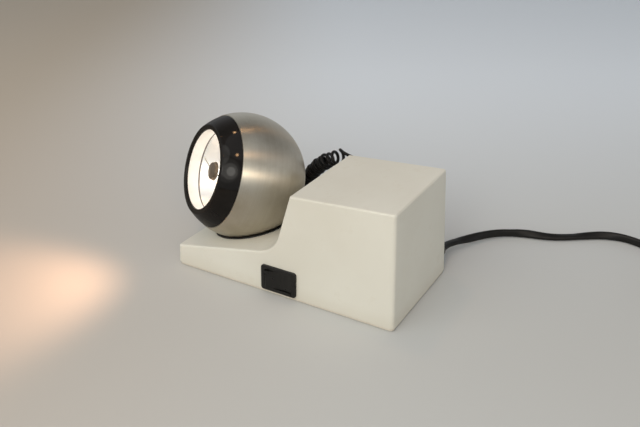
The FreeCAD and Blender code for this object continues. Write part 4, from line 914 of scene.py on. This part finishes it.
def makeTie(setup, lead):
    x, y = lead["coilMiddle"]
    angle = math.radians(setup["at"])
    loop = [(x + r * math.cos(angle), y + r * math.sin(angle), z) for r, z in setup["loop"]]
    line = evenLine(splineLine(millimetres(loop)), setup["ringStep"] / 1000)
    section = softSquare(setup["width"] / 1000, setup["thickness"] / 1000, setup["fullness"], setup["around"])
    tie = ringTube("coilTie", sweep(line, section))
    outward(tie)
    dress(tie, finishes["tie"])
    return tie


tie = makeTie(coilTie, mainsLead)
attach(tie, "base")
print("tie made")


# cross-recessed screws through the feet

plateScrew = {
    "headRadius": 2.8,
    "headHeight": 1.7,
    "headRounding": 0.1,
    "headDome": 0.55,  # how far the middle of the face stands proud of its rim
    "shankRadius": 1.42,
    "tip": 13.1,
    "point": [(1.42, 1.6), (0.71, 0.3), (0.05, 0)],  # radius, and distance back from the tip
    "recessReach": 1.75,
    "recessDeep": 1.0,
    "recessHalfWidth": 0.45,
    "recessSlope": (0.14, 0.4),  # width over which its sides and its ends slope
    "places": [(41.3, -79.75, 0.4), (-41.3, -79.75, 0.4), (41.3, 83.75, 0.4), (-41.3, 83.75, 0.4)],
    "creaseAngle": 40,
}


def screwShape(setup, around=48):
    # head down: the recess is pressed into its face, and the shank points up
    turn = fullTurn(around)
    radius, height, tip = setup["headRadius"], setup["headHeight"], setup["tip"]
    sideSlope, endSlope = setup["recessSlope"]
    rings = []
    for share in (0.01, 0.1, 0.2, 0.3, 0.4, 0.5, 0.6, 0.7, 0.8, 0.9, 0.97, 1.0):
        r = radius * share
        x, y = r * np.cos(turn), r * np.sin(turn)
        fromArm = np.minimum(np.abs(x), np.abs(y))
        sunk = np.clip((setup["recessHalfWidth"] - fromArm) / sideSlope, 0, 1)
        sunk *= np.clip((setup["recessReach"] - r) / endSlope, 0, 1)
        rings.append(np.column_stack([x, y, sunk * setup["recessDeep"] + setup["headDome"] * share ** 5]))
    rounding = setup["headRounding"]
    outline = [(radius, height - rounding), (radius - rounding, height), (setup["shankRadius"], height)]
    for r, z in outline + [(r, tip - back) for r, back in setup["point"]]:
        rings.append(np.column_stack([r * np.cos(turn), r * np.sin(turn), np.full(around, z)]))
    shape = ringTube("screwShape", millimetres(rings))
    outward(shape)
    return shape


screwPlaces = [tuple(place) for place in millimetres(plateScrew["places"])]
screws = repeatPiece("plateScrews", screwShape(plateScrew), screwPlaces, [(1, 1, 1)] * len(screwPlaces),
                     finishes["zinc"])
sharpAt(screws, plateScrew["creaseAngle"])
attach(screws, "base")
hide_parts("plate_screws")
print("screws made")


# the cords' places in the model

dress(mains, finishes["sheath"])
dress(wallHalf, finishes["curl"])
dress(ballHalf, finishes["curl"])
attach(mains, "base")
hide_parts("mains_lead", "mains_hank")
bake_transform(wallHalf)
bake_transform(ballHalf)
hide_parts("curly_tail", "curly_coil")
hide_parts("curly_lead_in")
print("cords laid")


# floor, light and surroundings

paleTable = {
    # each side's colour near the viewer and far from them; the darker, warmer left is painted shade and the
    # brighter, cooler far right is painted light
    "left": ("#BBAFA0", "#C2B8A8"),
    "right": ("#C4C7C6", "#EEF7FF"),
    # the way that each change runs, and how far along it the change starts and ends
    "leftToRight": ((-0.504, 0.8635, 0), -0.45, 0.1),
    "nearToFar": ((-0.8635, -0.504, 0), -0.15, 0.6),
    "reach": 3,  # metres from its middle to each edge
}


def tableFinish(setup):
    # a pale matt table top with painted light and shade: darker and warmer towards the left as painted shade,
    # and brighter and cooler towards the far right as painted light that makes up for the lamps' light
    # falling off with distance
    material, tree, place = startMaterial("paleTable")
    shares = []
    for way, low, high in (setup["leftToRight"], setup["nearToFar"]):
        reach = addNode(tree, "ShaderNodeVectorMath", {0: place, 1: way}, operation="DOT_PRODUCT")
        shares.append(addNode(tree, "ShaderNodeMapRange", {
            "Value": reach.outputs["Value"], "From Min": low, "From Max": high},
            interpolation_type="SMOOTHSTEP").outputs[0])
    across, away = shares
    sides = [addNode(tree, "ShaderNodeMix", {0: away, 6: linear(near), 7: linear(far)}, data_type="RGBA")
             for near, far in (setup["left"], setup["right"])]
    colour = addNode(tree, "ShaderNodeMix", {
        0: across, 6: sides[0].outputs[2], 7: sides[1].outputs[2]}, data_type="RGBA")
    return shaded(material, {
        "Base Color": colour.outputs[2], "Roughness": 0.62, "IOR": 1.4, "Specular IOR Level": 0.25})


def makeFloor(setup):
    reach = setup["reach"]
    corners = [(-reach, -reach, 0), (reach, -reach, 0), (reach, reach, 0), (-reach, reach, 0)]
    table = meshPiece("floor", corners, [(0, 1, 2, 3)], smooth=False)
    table.data.materials.append(tableFinish(setup))
    return table


makeFloor(paleTable)

litPoint = (0, 0.02, 0.05)  # what the area lights point at
areaLights = {
    # azimuth from the front of the tray towards the switch side, elevation, distance, size, watts, colour
    "windowCore": (100, 31, 1.25, 0.34, 1.2, "#FFFBF2"),
    "windowMiddle": (98, 31, 1.24, 0.62, 1.8, "#FFFBF2"),
    "windowEdge": (93, 32, 1.23, 0.95, 1.3, "#FFFBF2"),
    "frontFill": (58, 46, 1.4, 1.0, 3.3, "#FFFDF6"),
    "narrowWindow": (135, 27, 1.6, 0.26, 2.6, "#FFE6CA"),
    "overheadFill": (150, 80, 1.9, 2.2, 6.6, "#EEF3FA"),
    "warmLampSide": (108, 61, 1.8, 0.14, 2.0, "#FFC78E"),
    "warmLampFar": (-27, 69, 1.8, 0.115, 1.4, "#FFC78E"),
}
lampSpill = {
    # the edge of the lamp's own beam, where it falls on the table
    "place": (0.059, -0.0925, 0.0934),
    "target": (0.19, -0.2, 0.0),
    "cone": 84,  # degrees
    "blend": 0.8,
    "size": 0.02,
    "watts": 1.0,
    "colour": "#FFC79E",
}


def addLight(name, kind, place, away, watts, colour, **settings):
    # a light whose back points away from what it lights
    data = bpy.data.lights.new(name, kind)
    data.energy = watts
    data.color = linear(colour)[:3]
    for key, value in settings.items():
        setattr(data, key, value)
    light = bpy.data.objects.new(name, data)
    light.location = place
    light.rotation_euler = away.to_track_quat("Z", "Y").to_euler()
    bpy.context.collection.objects.link(light)


for lightName, (azimuth, elevation, distance, size, watts, colour) in areaLights.items():
    a, e = math.radians(azimuth), math.radians(elevation)
    away = Vector((math.sin(a) * math.cos(e), -math.cos(a) * math.cos(e), math.sin(e)))
    addLight(lightName, "AREA", Vector(litPoint) + away * distance, away, watts, colour,
             shape="DISK", size=size)
addLight("lampSpill", "SPOT", lampSpill["place"], Vector(lampSpill["place"]) - Vector(lampSpill["target"]),
         lampSpill["watts"], lampSpill["colour"], spot_size=math.radians(lampSpill["cone"]),
         spot_blend=lampSpill["blend"], shadow_soft_size=lampSpill["size"])

greyRoom = {
    "walls": "#E6E9EC",
    "ceiling": "#9EA0A1",
    "wallsTo": 0.4,  # heights in the room, as sines of the elevation
    "ceilingFrom": 0.8,
    "corner": "#2A2219",
    "cornerWay": (-0.40, 0.33, 0.855),  # the dark corner of the ceiling, behind and above
    "cornerSpan": (0.78, 0.965),  # cosines of the angle from that way
    "strength": 0.75,
}


def surroundings(setup):
    # a soft grey room, darker overhead, with one dark warm corner
    world = bpy.data.worlds.new("room")
    world.use_nodes = True
    tree = world.node_tree
    tree.nodes.clear()
    way = addNode(tree, "ShaderNodeTexCoord").outputs["Generated"]
    height = addNode(tree, "ShaderNodeSeparateXYZ", {0: way}).outputs["Z"]
    raised = addNode(tree, "ShaderNodeMapRange", {
        "Value": height, "From Min": setup["wallsTo"], "From Max": setup["ceilingFrom"]})
    grey = addNode(tree, "ShaderNodeMix", {
        0: raised.outputs[0], 6: linear(setup["walls"]), 7: linear(setup["ceiling"])}, data_type="RGBA")
    corner = addNode(tree, "ShaderNodeVectorMath", {0: way, 1: setup["cornerWay"]}, operation="DOT_PRODUCT")
    low, high = setup["cornerSpan"]
    dim = addNode(tree, "ShaderNodeMapRange", {
        "Value": corner.outputs["Value"], "From Min": low, "From Max": high}, interpolation_type="SMOOTHSTEP")
    room = addNode(tree, "ShaderNodeMix", {
        0: dim.outputs[0], 6: grey.outputs[2], 7: linear(setup["corner"])}, data_type="RGBA")
    back = addNode(tree, "ShaderNodeBackground", {"Color": room.outputs[2], "Strength": setup["strength"]})
    addNode(tree, "ShaderNodeOutputWorld", {"Surface": back.outputs[0]})
    bpy.context.scene.world = world


surroundings(greyRoom)
bpy.context.scene.view_settings.view_transform = "Standard"
print("floor, lights and room made")
